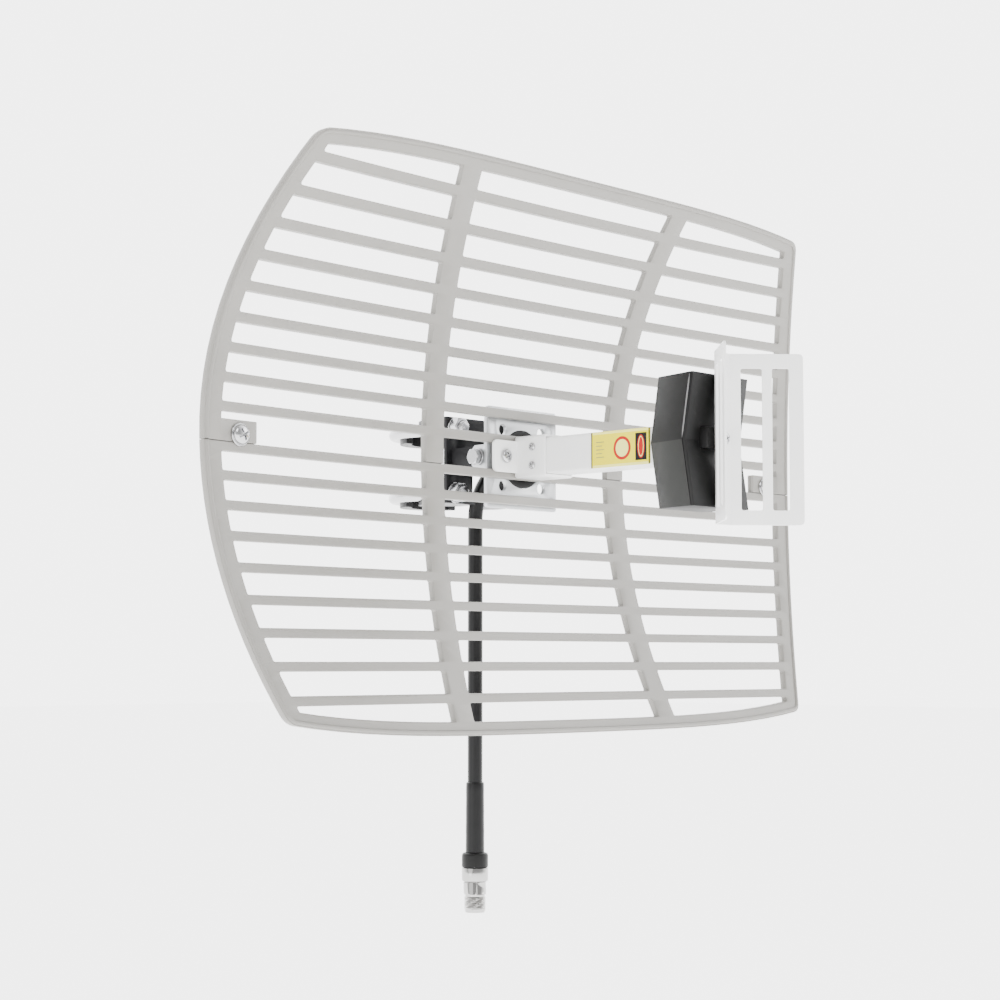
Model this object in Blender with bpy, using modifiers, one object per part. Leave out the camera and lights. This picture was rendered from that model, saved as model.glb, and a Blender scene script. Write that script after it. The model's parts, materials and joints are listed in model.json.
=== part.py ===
"""Parabolic grid antenna with a clamp for a round mast.

Metres, +Z up. The origin is on the mast's axis, level with the middle of the clamp, and the
antenna looks along -Y. The mast itself isn't part of the model.
"""
import math

import bmesh
import bpy
from mathutils import Matrix, Vector

# ---------------------------------------------------------------- driving dimensions
GAP = 0.0003                     # clearance between pieces that touch
MAST_RADIUS = 0.0212             # 42.4 mm steel pipe

DISH_HALF_WIDTH = 0.300
CAST_DEPTH = 0.0055              # depth of the cast grid along Y
CURVE_X = 0.113                  # the surface is y = -(CURVE_X x^2 + CURVE_Z z^2)
CURVE_Z = 1.523
LOWER_CURVE_Z = 1.180             # the lower half is a little flatter
VERTEX_Y = -0.088                # front surface on the dish's axis
BARS_PER_HALF = 9
FIRST_BAR_Z = 0.0124
BAR_PITCH = 0.01775
BAR_PITCH_GROWTH = 0.00022       # each gap is a little wider than the one inside it
BAR_HEIGHT = 0.0062
RIM_Z = 0.1889                   # middle of the top and bottom rims, on the dish's axis
RIM_WIDTH = 0.0090
RIM_DROP_2 = 0.0024              # how far those rims bow in at full width
RIM_DROP_4 = 0.0157
SIDE_RIM_INNER_X = 0.2857
SIDE_RIM_BOW = 1.515             # side rims lean in by this times z^2
LOWER_SIDE_RIM_BOW = 1.165
RIB_INNER_X = 0.0854
RIB_OUTER_X = 0.1028
RIB_BOW = 0.452                  # ribs lean out by this times z^2
LOWER_RIB_BOW = 0.315
SEAM_Z = -(FIRST_BAR_Z - BAR_HEIGHT / 2)
TAB_TOP_Z = 0.0047
TAB_INNER_X = 0.256
RIM_SCREW_X = 0.2706
RIM_SCREW_Z = -0.0045

PLATE_SIZE = 0.072
PLATE_THICKNESS = 0.003
PLATE_FRONT_Y = VERTEX_Y + CAST_DEPTH + GAP
PLATE_BACK_Y = PLATE_FRONT_Y + PLATE_THICKNESS
PLATE_BORE_RADIUS = 0.021
PLATE_HOLE_OFFSET = 0.020
PLATE_HOLE_RADIUS = 0.004
PLATE_SMALL_HOLE_OFFSET = 0.030
PLATE_SMALL_HOLE_RADIUS = 0.0022
EAR_HALF_HEIGHT = 0.0085

PIVOT_Y = PLATE_BACK_Y + GAP + 0.0059
PIVOT_HOLE_RADIUS = 0.0033
BRACKET_EAR_RADIUS = 0.0059
BRACKET_EAR_OUTER_X = PLATE_SIZE / 2 - PLATE_THICKNESS - GAP
BRACKET_SHEET = 0.003
BRACKET_HALF_WIDTH = 0.038
BRACKET_HALF_HEIGHT = 0.031
WEB_FRONT_Y = -0.044
WEB_BACK_Y = WEB_FRONT_Y + BRACKET_SHEET
HORN_Y = -0.005
CABLE_SLOT_HALF_WIDTH = 0.0085
WEB_SLOT_HALF_WIDTH = 0.0115
WEB_SLOT_TOP_Z = 0.0125

CLAMP_Z = 0.0235                 # height of each U-bolt
UBOLT_ROD_RADIUS = 0.004
UBOLT_LEG_X = 0.030
UBOLT_BEND_Y = 0.007
UBOLT_TIP_Y = -0.055
SADDLE_HEIGHT = 0.014

SOCKET_BACK_Y = VERTEX_Y - 0.0009
SOCKET_SHEET = 0.002
SOCKET_OUTER = 0.0296
SOCKET_LENGTH = 0.0285
FLANGE_SPAN = 0.076
FLANGE_HEIGHT = 0.0226
SOCKET_SCREW_X = 0.0262
ARM_SIZE = 0.0254
ARM_WALL = 0.0015
ARM_FRONT_Y = -0.232
ARM_SCREW_Z = 0.0065
ARM_SCREW_Y = -0.1060
LABEL_Y = (-0.2116, -0.1593)
LABEL_HEIGHT = 0.0246
LABEL_THICKNESS = 0.0004

HOUSING_HALF_HEIGHT = 0.0438
HOUSING_REAR_HALF_WIDTH = 0.022
HOUSING_RIDGE_HALF_WIDTH = 0.030
HOUSING_FRONT_HALF_WIDTH = 0.0292
HOUSING_REAR_Y = -0.2192
HOUSING_RIDGE_Y = -0.2523        # where the rear shell meets the front cover
HOUSING_FRONT_Y = -0.2543
HOUSING_LEAN = 0.0070            # how far top and bottom stand forward of the middle
HOUSING_WALL = 0.002
BOARD_Y = -0.2440

SUB_WEB_Y = -0.2620
SUB_SHEET = 0.0015
SUB_WEB_HALF_WIDTH = 0.008
SUB_WING_LENGTH = 0.049
SUB_HALF_HEIGHT = 0.0568
SUB_CENTRE_Z = 0.0018
SUB_WINDOW_HALF_HEIGHT = 0.0470
SUB_WINDOWS = ((0.0074, 0.0216), (0.0282, 0.0395))

CABLE_RADIUS = 0.0054
CABLE_EXIT_Y = -0.0785
CABLE_STRAIGHT = 0.0012          # the cable leaves its gland level for this far
CABLE_DROP_Y = -0.0355
SLEEVE_TOP_Z = -0.2310
COLLAR_TOP_Z = -0.2812
CONNECTOR_TOP_Z = -0.2918
CONNECTOR_BOTTOM_Z = -0.3236
CONNECTOR_RADIUS = 0.00955       # of the clamp nut, the widest ring
THREAD_RADIUS = 0.00794          # 5/8 inch thread of a type N jack

# ---------------------------------------------------------------- scene and collections
for old in list(bpy.data.objects):
    bpy.data.objects.remove(old, do_unlink=True)

ANTENNA = bpy.data.collections.new("parabolic_grid_antenna")
CUTTERS = bpy.data.collections.new("cutters")
bpy.context.scene.collection.children.link(ANTENNA)
bpy.context.scene.collection.children.link(CUTTERS)


def make_material(name, colour, roughness, metallic):
    material = bpy.data.materials.new(name)
    material.use_nodes = True
    shader = material.node_tree.nodes["Principled BSDF"]
    shader.inputs["Base Color"].default_value = (*colour, 1.0)
    shader.inputs["Roughness"].default_value = roughness
    shader.inputs["Metallic"].default_value = metallic
    material.diffuse_color = (*colour, 1.0)
    return material


MATERIALS = {
    "grid_paint": make_material("grid_paint", (0.55, 0.53, 0.50), 0.45, 0.0),
    "white_paint": make_material("white_paint", (0.84, 0.84, 0.83), 0.35, 0.0),
    "zinc_plate": make_material("zinc_plate", (0.74, 0.75, 0.75), 0.38, 0.6),
    "dark_steel": make_material("dark_steel", (0.06, 0.06, 0.065), 0.45, 0.7),
    "bright_steel": make_material("bright_steel", (0.75, 0.75, 0.76), 0.22, 1.0),
    "black_plastic": make_material("black_plastic", (0.02, 0.02, 0.022), 0.55, 0.0),
    "cable_jacket": make_material("cable_jacket", (0.02, 0.02, 0.02), 0.45, 0.0),
    "nickel": make_material("nickel", (0.70, 0.69, 0.67), 0.25, 1.0),
    "label_film": make_material("label_film", (0.85, 0.78, 0.05), 0.4, 0.0),
    "circuit_board": make_material("circuit_board", (0.05, 0.22, 0.10), 0.5, 0.0),
    "brass": make_material("brass", (0.72, 0.55, 0.25), 0.3, 1.0),
    "insulator": make_material("insulator", (0.85, 0.84, 0.80), 0.4, 0.0),
}

# ---------------------------------------------------------------- moving frames
PIVOT = Vector((0.0, PIVOT_Y, 0.0))


def add_empty(name, place):
    empty = bpy.data.objects.new(name, None)
    empty.location = place
    ANTENNA.objects.link(empty)
    return empty


HEAD = add_empty("tilt_axis", PIVOT)
UPPER_CLAMP = add_empty("upper_clamp_axis", (0.0, 0.0, CLAMP_Z))
LOWER_CLAMP = add_empty("lower_clamp_axis", (0.0, 0.0, -CLAMP_Z))


# ---------------------------------------------------------------- modelling helpers
def add_part(name, mesh, material, parent=None, smooth=None):
    """Link a mesh, given in world coordinates, as one named piece."""
    mesh.name = name
    mesh.materials.clear()
    mesh.materials.append(MATERIALS[material])
    if smooth is not None:
        mesh.shade_smooth()
        mesh.set_sharp_from_angle(angle=math.radians(smooth))
    part = bpy.data.objects.new(name, mesh)
    if parent is not None:
        mesh.transform(Matrix.Translation(-parent.location))
        part.parent = parent
    ANTENNA.objects.link(part)
    return part


def add_cutter(name, mesh, parent=None):
    cutter = bpy.data.objects.new(name, mesh)
    if parent is not None:
        mesh.transform(Matrix.Translation(-parent.location))
        cutter.parent = parent
    cutter.hide_render = True
    cutter.display_type = "WIRE"
    CUTTERS.objects.link(cutter)
    return cutter


def boolean(part, operation, cutter):
    modifier = part.modifiers.new(operation.lower(), "BOOLEAN")
    modifier.operation = operation
    modifier.solver = "EXACT"
    modifier.object = cutter
    return modifier


def mesh_from(build, name="shape"):
    """Run a function on a new bmesh and return the finished mesh."""
    shape = bmesh.new()
    build(shape)
    bmesh.ops.recalc_face_normals(shape, faces=shape.faces)
    mesh = bpy.data.meshes.new(name)
    shape.to_mesh(mesh)
    shape.free()
    return mesh


def box_mesh(low, high, spin=0.0):
    """A box between two corners, turned by spin about its own vertical."""
    low, high = Vector(low), Vector(high)
    size, middle = high - low, (low + high) / 2

    def build(shape):
        matrix = Matrix.Translation(middle) @ Matrix.Rotation(spin, 4, "Z")
        matrix = matrix @ Matrix.Diagonal((*size, 1.0))
        bmesh.ops.create_cube(shape, size=1.0, matrix=matrix)

    return mesh_from(build)


def cylinder_mesh(start, end, radius, sides=24, turn=0.0):
    start, end = Vector(start), Vector(end)
    along = end - start

    def build(shape):
        matrix = Matrix.Translation((start + end) / 2)
        matrix = matrix @ along.to_track_quat("Z", "Y").to_matrix().to_4x4()
        matrix = matrix @ Matrix.Rotation(turn, 4, "Z")
        bmesh.ops.create_cone(shape, cap_ends=True, segments=sides, radius1=radius,
                              radius2=radius, depth=along.length, matrix=matrix)

    return mesh_from(build)


def turned_mesh(profile, place, axis, sides=24):
    """Turn (radius, height) points about an axis; points on the axis close the ends."""
    turn = Vector(axis).to_track_quat("Z", "Y").to_matrix().to_4x4()
    closed = profile[0][0] > 0 or profile[-1][0] > 0

    def build(shape):
        points = [shape.verts.new((radius, 0.0, height)) for radius, height in profile]
        pairs = list(zip(points, points[1:]))
        if closed:
            pairs.append((points[-1], points[0]))
        edges = [shape.edges.new(pair) for pair in pairs]
        bmesh.ops.spin(shape, geom=points + edges, cent=(0, 0, 0), axis=(0, 0, 1),
                       angle=math.tau, steps=sides, use_merge=True)
        bmesh.ops.remove_doubles(shape, verts=shape.verts, dist=1e-6)
        bmesh.ops.transform(shape, matrix=Matrix.Translation(place) @ turn,
                            verts=shape.verts)

    return mesh_from(build)


def outline_mesh(loops, thickness, place, plane):
    """A flat plate from closed 2D loops. The plane names the plate's two axes."""
    curve = bpy.data.curves.new("outline", "CURVE")
    curve.dimensions = "2D"
    curve.fill_mode = "BOTH"
    curve.extrude = thickness / 2
    for loop in loops:
        spline = curve.splines.new("POLY")
        spline.points.add(len(loop) - 1)
        for point, (x, y) in zip(spline.points, loop):
            point.co = (x, y, 0.0, 1.0)
        spline.use_cyclic_u = True
    holder = bpy.data.objects.new("outline", curve)
    CUTTERS.objects.link(holder)
    depsgraph = bpy.context.evaluated_depsgraph_get()
    mesh = bpy.data.meshes.new_from_object(holder.evaluated_get(depsgraph))
    bpy.data.objects.remove(holder, do_unlink=True)
    turns = {
        "XY": Matrix.Identity(4),
        "XZ": Matrix.Rotation(math.radians(90), 4, "X"),
        "YZ": Matrix(((0, 0, 1, 0), (1, 0, 0, 0), (0, 1, 0, 0), (0, 0, 0, 1))),
    }
    mesh.transform(Matrix.Translation(place) @ turns[plane])
    shape = bmesh.new()
    shape.from_mesh(mesh)
    bmesh.ops.remove_doubles(shape, verts=shape.verts, dist=1e-6)
    bmesh.ops.recalc_face_normals(shape, faces=shape.faces)
    shape.to_mesh(mesh)
    shape.free()
    return mesh


def circle(x, y, radius, sides=20):
    angles = [math.tau * (k + 0.5) / sides for k in range(sides)]
    return [(x + radius * math.cos(a), y + radius * math.sin(a)) for a in angles]


def arc(x, y, radius, start, end, steps):
    """Points along an arc; the angles are in degrees."""
    angles = [math.radians(start + (end - start) * k / steps) for k in range(steps + 1)]
    return [(x + radius * math.cos(a), y + radius * math.sin(a)) for a in angles]


def grid_mesh(columns, rows, is_open, place, thickness_shift=None):
    """A sheet of cells without the open ones; a shift gives it thickness."""
    def build(shape):
        grid = bmesh.ops.create_grid(shape, x_segments=columns, y_segments=rows, size=0.5)
        index = {}
        for vert in grid["verts"]:
            i = round((vert.co.x + 0.5) * columns)
            j = round((vert.co.y + 0.5) * rows)
            index[vert] = (i, j)
        gone = []
        for face in shape.faces:
            centre = face.calc_center_median()
            i = int((centre.x + 0.5) * columns)
            j = int((centre.y + 0.5) * rows)
            if is_open(i, j):
                gone.append(face)
        for vert, (i, j) in index.items():
            vert.co = place(i, j)
        bmesh.ops.delete(shape, geom=gone, context="FACES")
        if thickness_shift is not None:
            result = bmesh.ops.extrude_face_region(shape, geom=list(shape.faces),
                                                   use_keep_orig=True)
            moved = [item for item in result["geom"] if isinstance(item, bmesh.types.BMVert)]
            bmesh.ops.translate(shape, vec=thickness_shift, verts=moved)

    return mesh_from(build)


# ---------------------------------------------------------------- fasteners
def pan_screw(name, place, axis, head_radius, head_height, shank_radius, shank_length,
              material="bright_steel", parent=None, washer_radius=0.0):
    """A pan-head screw. The place is under its head, and the axis points out of the head."""
    profile = [(0.0, head_height)]
    for step in range(1, 5):
        angle = math.radians(90 - 18 * step)
        profile.append((head_radius * math.cos(angle),
                        head_height * (0.35 + 0.65 * math.sin(angle))))
    low = 0.0
    if washer_radius:
        low = 0.0010
        profile += [(head_radius, low), (washer_radius, low)]
        profile += [(washer_radius, 0.0)]
    else:
        profile.append((head_radius, 0.0))
    profile += [(shank_radius, 0.0), (shank_radius, -shank_length), (0.0, -shank_length)]
    return add_part(name, turned_mesh(profile, place, axis, 20), material, parent, 35)


def hex_nut(name, start, end, across_flats, bore, material, parent=None):
    """A plain hexagon nut between two points on its axis."""
    radius = across_flats / 2 / math.cos(math.radians(30))
    part = add_part(name, cylinder_mesh(start, end, radius, 6), material, parent)
    reach = (Vector(end) - Vector(start)) * 0.2
    bore_mesh = cylinder_mesh(Vector(start) - reach, Vector(end) + reach, bore, 20)
    boolean(part, "DIFFERENCE", add_cutter(name + "_bore", bore_mesh, parent))
    return part


def washer(name, place, axis, outer, inner, thickness, material, parent=None):
    profile = [(outer, thickness), (outer, 0.0), (inner, 0.0), (inner, thickness)]
    return add_part(name, turned_mesh(profile, place, axis, 24), material, parent, 35)


# ---------------------------------------------------------------- reflector
def surface_y(x, z):
    curve_z = CURVE_Z if z >= 0 else LOWER_CURVE_Z
    return VERTEX_Y - CURVE_X * x * x - curve_z * z * z


def rim_drop(x):
    share = (x / DISH_HALF_WIDTH) ** 2
    return RIM_DROP_2 * share + RIM_DROP_4 * share * share


def bar_z(number):
    return FIRST_BAR_Z + BAR_PITCH * number + BAR_PITCH_GROWTH * number * number


def column_lines(side):
    """Each line of the grid across the dish, as its place on the axis and its bow."""
    rim_bow = SIDE_RIM_BOW if side > 0 else LOWER_SIDE_RIM_BOW
    rib_bow = RIB_BOW if side > 0 else LOWER_RIB_BOW
    half = [(0.0, 0.0), (RIB_INNER_X / 2, rib_bow / 2), (RIB_INNER_X, rib_bow),
            (RIB_OUTER_X, rib_bow)]
    gap = SIDE_RIM_INNER_X - RIB_OUTER_X
    for part in (1, 2, 3):
        share = part / 4
        half.append((RIB_OUTER_X + gap * share, rib_bow + share * (-rim_bow - rib_bow)))
    half += [(SIDE_RIM_INNER_X, -rim_bow), (DISH_HALF_WIDTH, -rim_bow)]
    mirrored = [(-x, -bow) for x, bow in reversed(half[1:])]
    return mirrored + half


def make_reflector_half(name, side):
    """One casting. Side is +1 for the upper half and -1 for the lower one."""
    seam = SEAM_Z + GAP / 2 if side > 0 else -SEAM_Z
    rows = [seam]
    for number in range(BARS_PER_HALF):
        rows += [bar_z(number) - BAR_HEIGHT / 2, bar_z(number) + BAR_HEIGHT / 2]
    if side < 0:
        rows[1] = seam + GAP / 2
        rows.pop(0)
    rows += [RIM_Z - RIM_WIDTH / 2, RIM_Z + RIM_WIDTH / 2]
    lines = column_lines(side)
    last_column = len(lines) - 1
    last_row = len(rows) - 1
    ribs = {0, 5, last_column - 6, last_column - 1}
    first_bar_row = 1 if side > 0 else 0

    def is_open(i, j):
        is_bar = (j - first_bar_row) % 2 == 0 and j >= first_bar_row
        is_rim = j == last_row - 1
        return i not in ribs and not is_bar and not is_rim

    def place(i, j):
        base, bow = lines[i]
        height = rows[j]
        x = base + bow * height * height
        if j >= last_row - 1:
            height -= rim_drop(x)
        if j == last_row and i in (0, last_column):
            x -= math.copysign(0.007, x)
            height -= 0.004
        return Vector((x, surface_y(x, side * height), side * height))

    mesh = grid_mesh(last_column, last_row, is_open, place, (0.0, CAST_DEPTH, 0.0))
    half = add_part(name, mesh, "grid_paint", HEAD)
    for turn in (-1, 1):
        add_seam_tab(half, name, side, turn)
    return half


def add_seam_tab(half, name, side, turn):
    """The lapped ear beside the seam, in front on the upper half and behind on the lower."""
    middle_x = turn * RIM_SCREW_X
    front = surface_y(middle_x, RIM_SCREW_Z)
    spin = math.atan(-2 * CURVE_X * middle_x)
    outer_x = SIDE_RIM_INNER_X + 0.004 if side > 0 else SIDE_RIM_INNER_X - GAP * 2
    low_z = SEAM_Z + GAP / 2 if side > 0 else SEAM_Z - 0.004
    start = 0.0001 if side > 0 else CAST_DEPTH / 2 + GAP / 2
    end = CAST_DEPTH / 2 - GAP / 2 if side > 0 else CAST_DEPTH - 0.0001
    xs = sorted((turn * TAB_INNER_X, turn * outer_x))
    shift = math.tan(spin) * ((xs[0] + xs[1]) / 2 - middle_x)
    low = (xs[0], front + start + shift, low_z)
    high = (xs[1], front + end + shift, TAB_TOP_Z)
    label = name + ("_tab_left" if turn < 0 else "_tab_right")
    boolean(half, "UNION", add_cutter(label, box_mesh(low, high, spin), HEAD))
    hole = cylinder_mesh((middle_x, front - 0.01, RIM_SCREW_Z),
                         (middle_x, front + 0.02, RIM_SCREW_Z), 0.0029, 16)
    boolean(half, "DIFFERENCE", add_cutter(label + "_hole", hole, HEAD))


def make_reflector():
    make_reflector_half("reflector_upper", 1)
    make_reflector_half("reflector_lower", -1)
    for side, word in ((-1, "left"), (1, "right")):
        x = side * RIM_SCREW_X
        front = surface_y(x, RIM_SCREW_Z)
        slope = Vector((2 * CURVE_X * x, 1.0, 0.0)).normalized()
        place = Vector((x, front, RIM_SCREW_Z)) - slope * GAP
        pan_screw("rim_screw_" + word, place, -slope, 0.0064, 0.0042, 0.0025, 0.0110,
                  parent=HEAD, washer_radius=0.0074)
        start = Vector((x, front, RIM_SCREW_Z)) + slope * (CAST_DEPTH + GAP)
        hex_nut("rim_nut_" + word, start, start + slope * 0.0040, 0.0080, 0.0028,
                "bright_steel", HEAD)


# ---------------------------------------------------------------- hub
def make_hub_plate():
    half = PLATE_SIZE / 2
    corner = 0.002
    outline = []
    for x, z, start in ((half, half, 0), (-half, half, 90), (-half, -half, 180),
                        (half, -half, 270)):
        centre_x = x - math.copysign(corner, x)
        centre_z = z - math.copysign(corner, z)
        outline += arc(centre_x, centre_z, corner, start, start + 90, 3)
    loops = [outline, circle(0, 0, PLATE_BORE_RADIUS, 32)]
    for x in (-1, 1):
        for z in (-1, 1):
            loops.append(circle(x * PLATE_HOLE_OFFSET, z * PLATE_HOLE_OFFSET,
                                PLATE_HOLE_RADIUS, 16))
            loops.append(circle(x * PLATE_SMALL_HOLE_OFFSET, z * PLATE_SMALL_HOLE_OFFSET,
                                PLATE_SMALL_HOLE_RADIUS, 10))
        loops.append(circle(0, x * PLATE_SMALL_HOLE_OFFSET, PLATE_SMALL_HOLE_RADIUS, 10))
        loops.append(circle(x * SOCKET_SCREW_X, 0, 0.0028, 12))
    middle = (PLATE_FRONT_Y + PLATE_BACK_Y) / 2
    mesh = outline_mesh(loops, PLATE_THICKNESS, (0, middle, 0), "XZ")
    plate = add_part("hub_plate", mesh, "zinc_plate", HEAD)
    for side, word in ((-1, "left"), (1, "right")):
        start = PLATE_BACK_Y - 0.001
        end = PIVOT_Y + 0.0062
        ear = [(start, -EAR_HALF_HEIGHT), (end - 0.003, -EAR_HALF_HEIGHT),
               (end, -EAR_HALF_HEIGHT + 0.003), (end, EAR_HALF_HEIGHT - 0.003),
               (end - 0.003, EAR_HALF_HEIGHT), (start, EAR_HALF_HEIGHT)]
        hole = circle(PIVOT_Y, 0, PIVOT_HOLE_RADIUS, 20)
        x = side * (half - PLATE_THICKNESS / 2 - 0.0002)
        ear_mesh = outline_mesh([ear, hole], PLATE_THICKNESS, (x, 0, 0), "YZ")
        boolean(plate, "UNION", add_cutter("hub_ear_" + word, ear_mesh, HEAD))


def make_cable_gland():
    """The moulded bush in the hub plate's bore, which the cable leaves through."""
    outer = PLATE_BORE_RADIUS - GAP
    back = CABLE_EXIT_Y - GAP
    depth = back - PLATE_FRONT_Y
    dish = 0.0016
    profile = [(0.0, dish), (0.012, dish), (outer - 0.002, depth), (outer, depth), (outer, 0.0),
               (0.0, 0.0)]
    mesh = turned_mesh(profile, (0, back, 0), (0, -1, 0), 32)
    add_part("cable_gland", mesh, "black_plastic", HEAD, 35)


# ---------------------------------------------------------------- feed
def make_feed_socket():
    half_span, half_height = FLANGE_SPAN / 2, FLANGE_HEIGHT / 2
    inner = ARM_SIZE / 2 + GAP
    outline = [(-half_span, -half_height), (half_span, -half_height),
               (half_span, half_height), (-half_span, half_height)]
    loops = [outline]
    for side in (-1, 1):
        loops.append(circle(side * SOCKET_SCREW_X, 0, 0.0028, 16))
    mesh = outline_mesh(loops, SOCKET_SHEET, (0, SOCKET_BACK_Y - SOCKET_SHEET / 2, 0), "XZ")
    socket = add_part("feed_socket", mesh, "white_paint", HEAD)
    half = SOCKET_OUTER / 2
    front = SOCKET_BACK_Y - SOCKET_LENGTH
    sleeve = box_mesh((-half, front, -half), (half, SOCKET_BACK_Y - 0.0001, half))
    boolean(socket, "UNION", add_cutter("socket_sleeve", sleeve, HEAD))
    bore = box_mesh((-inner, front - 0.01, -inner), (inner, SOCKET_BACK_Y + 0.01, inner))
    boolean(socket, "DIFFERENCE", add_cutter("socket_bore", bore, HEAD))
    for side in (-1, 1):
        z = side * ARM_SCREW_Z
        hole = cylinder_mesh((-0.03, ARM_SCREW_Y, z), (0.0, ARM_SCREW_Y, z), 0.0019, 12)
        boolean(socket, "DIFFERENCE", add_cutter("socket_screw_hole", hole, HEAD))
    for side, word in ((-1, "left"), (1, "right")):
        place = (side * SOCKET_SCREW_X, SOCKET_BACK_Y - SOCKET_SHEET - GAP, 0)
        pan_screw("socket_screw_" + word, place, (0, -1, 0), 0.0048, 0.0032, 0.0025,
                  0.0110, parent=HEAD)


def make_feed_arm():
    half, hollow = ARM_SIZE / 2, ARM_SIZE / 2 - ARM_WALL
    arm = add_part("feed_arm", box_mesh((-half, ARM_FRONT_Y, -half),
                                        (half, SOCKET_BACK_Y, half)), "white_paint", HEAD)
    bore = box_mesh((-hollow, ARM_FRONT_Y - 0.01, -hollow),
                    (hollow, SOCKET_BACK_Y + 0.01, hollow))
    boolean(arm, "DIFFERENCE", add_cutter("arm_bore", bore, HEAD))
    for side, word in ((1, "upper"), (-1, "lower")):
        z = side * ARM_SCREW_Z
        hole = cylinder_mesh((-0.03, ARM_SCREW_Y, z), (0.0, ARM_SCREW_Y, z), 0.0019, 12)
        boolean(arm, "DIFFERENCE", add_cutter("arm_screw_hole", hole, HEAD))
        pan_screw("arm_screw_" + word, (-SOCKET_OUTER / 2 - GAP, ARM_SCREW_Y, z),
                  (-1, 0, 0), 0.0028, 0.0016, 0.0016, 0.0055, parent=HEAD)
    x = -half - GAP
    label = box_mesh((x - LABEL_THICKNESS, LABEL_Y[0], -LABEL_HEIGHT / 2),
                     (x, LABEL_Y[1], LABEL_HEIGHT / 2))
    add_part("arm_label", label, "label_film", HEAD)
    coax = cylinder_mesh((0, CABLE_EXIT_Y - 0.0025, 0), (0, ARM_FRONT_Y, 0), 0.005, 16)
    add_part("feed_coax", coax, "cable_jacket", HEAD, 35)


def housing_ring(y, half_width, inset=0.0):
    """One section of the housing: its middle stands nearer the dish than its ends."""
    half_width, half_height = half_width - inset, HOUSING_HALF_HEIGHT - inset
    corners = ((-1, -1), (-1, 0), (-1, 1), (1, 1), (1, 0), (1, -1))
    lean = HOUSING_LEAN * half_height / HOUSING_HALF_HEIGHT
    return [(x * half_width, y - lean * abs(z), z * half_height) for x, z in corners]


def housing_loft(name, sections):
    """A closed body through the sections, with a folded face over the first and the last."""
    def build(shape):
        rings = [[shape.verts.new(place) for place in section] for section in sections]
        for near, far in zip(rings, rings[1:]):
            for k in range(6):
                following = (k + 1) % 6
                shape.faces.new((near[k], near[following], far[following], far[k]))
        for ring in (rings[0], rings[-1]):
            shape.faces.new((ring[0], ring[1], ring[4], ring[5]))
            shape.faces.new((ring[1], ring[2], ring[3], ring[4]))

    return add_part(name, mesh_from(build), "black_plastic", HEAD)


def make_housing():
    """A rear shell, open at its front, and the cover that closes it along the ridge."""
    rim_y = HOUSING_RIDGE_Y + GAP / 2
    rear = housing_loft("housing_rear", [
        housing_ring(HOUSING_REAR_Y, HOUSING_REAR_HALF_WIDTH),
        housing_ring(rim_y, HOUSING_RIDGE_HALF_WIDTH),
        housing_ring(rim_y, HOUSING_RIDGE_HALF_WIDTH, HOUSING_WALL),
        housing_ring(HOUSING_REAR_Y - HOUSING_WALL, HOUSING_REAR_HALF_WIDTH, HOUSING_WALL),
    ])
    inner = ARM_SIZE / 2 + GAP
    cut = box_mesh((-inner, HOUSING_REAR_Y - 0.02, -inner),
                   (inner, HOUSING_REAR_Y + 0.02, inner))
    boolean(rear, "DIFFERENCE", add_cutter("housing_arm_hole", cut, HEAD))
    cover_y = HOUSING_RIDGE_Y - GAP / 2
    front = housing_loft("housing_front", [
        housing_ring(cover_y, HOUSING_RIDGE_HALF_WIDTH),
        housing_ring(HOUSING_FRONT_Y, HOUSING_FRONT_HALF_WIDTH),
    ])
    hole = cylinder_mesh((0, HOUSING_FRONT_Y - 0.01, SUB_CENTRE_Z),
                         (0, HOUSING_FRONT_Y + 0.01, SUB_CENTRE_Z), 0.0023, 16)
    boolean(front, "DIFFERENCE", add_cutter("housing_screw_hole", hole, HEAD))
    spacer_y = HOUSING_FRONT_Y - 5 * GAP
    washer("subreflector_spacer", (0, spacer_y, SUB_CENTRE_Z), (0, -1, 0), 0.0050, 0.0023,
           spacer_y - SUB_WEB_Y - GAP, "bright_steel", HEAD)
    mount = box_mesh((-0.012, BOARD_Y + GAP, -0.012), (0.012, ARM_FRONT_Y - GAP, 0.012))
    add_part("board_mount", mount, "black_plastic", HEAD)
    board = box_mesh((-0.0230, BOARD_Y - 0.0016, -0.036), (0.0230, BOARD_Y, 0.036))
    add_part("dipole_board", board, "circuit_board", HEAD)
    for side, word in ((1, "upper"), (-1, "lower")):
        low_y = BOARD_Y - 0.0016 - GAP
        strip = box_mesh((-0.0225, low_y - 0.001, side * 0.022 - 0.003),
                         (0.0225, low_y, side * 0.022 + 0.003))
        add_part("dipole_" + word, strip, "brass", HEAD)


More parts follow.
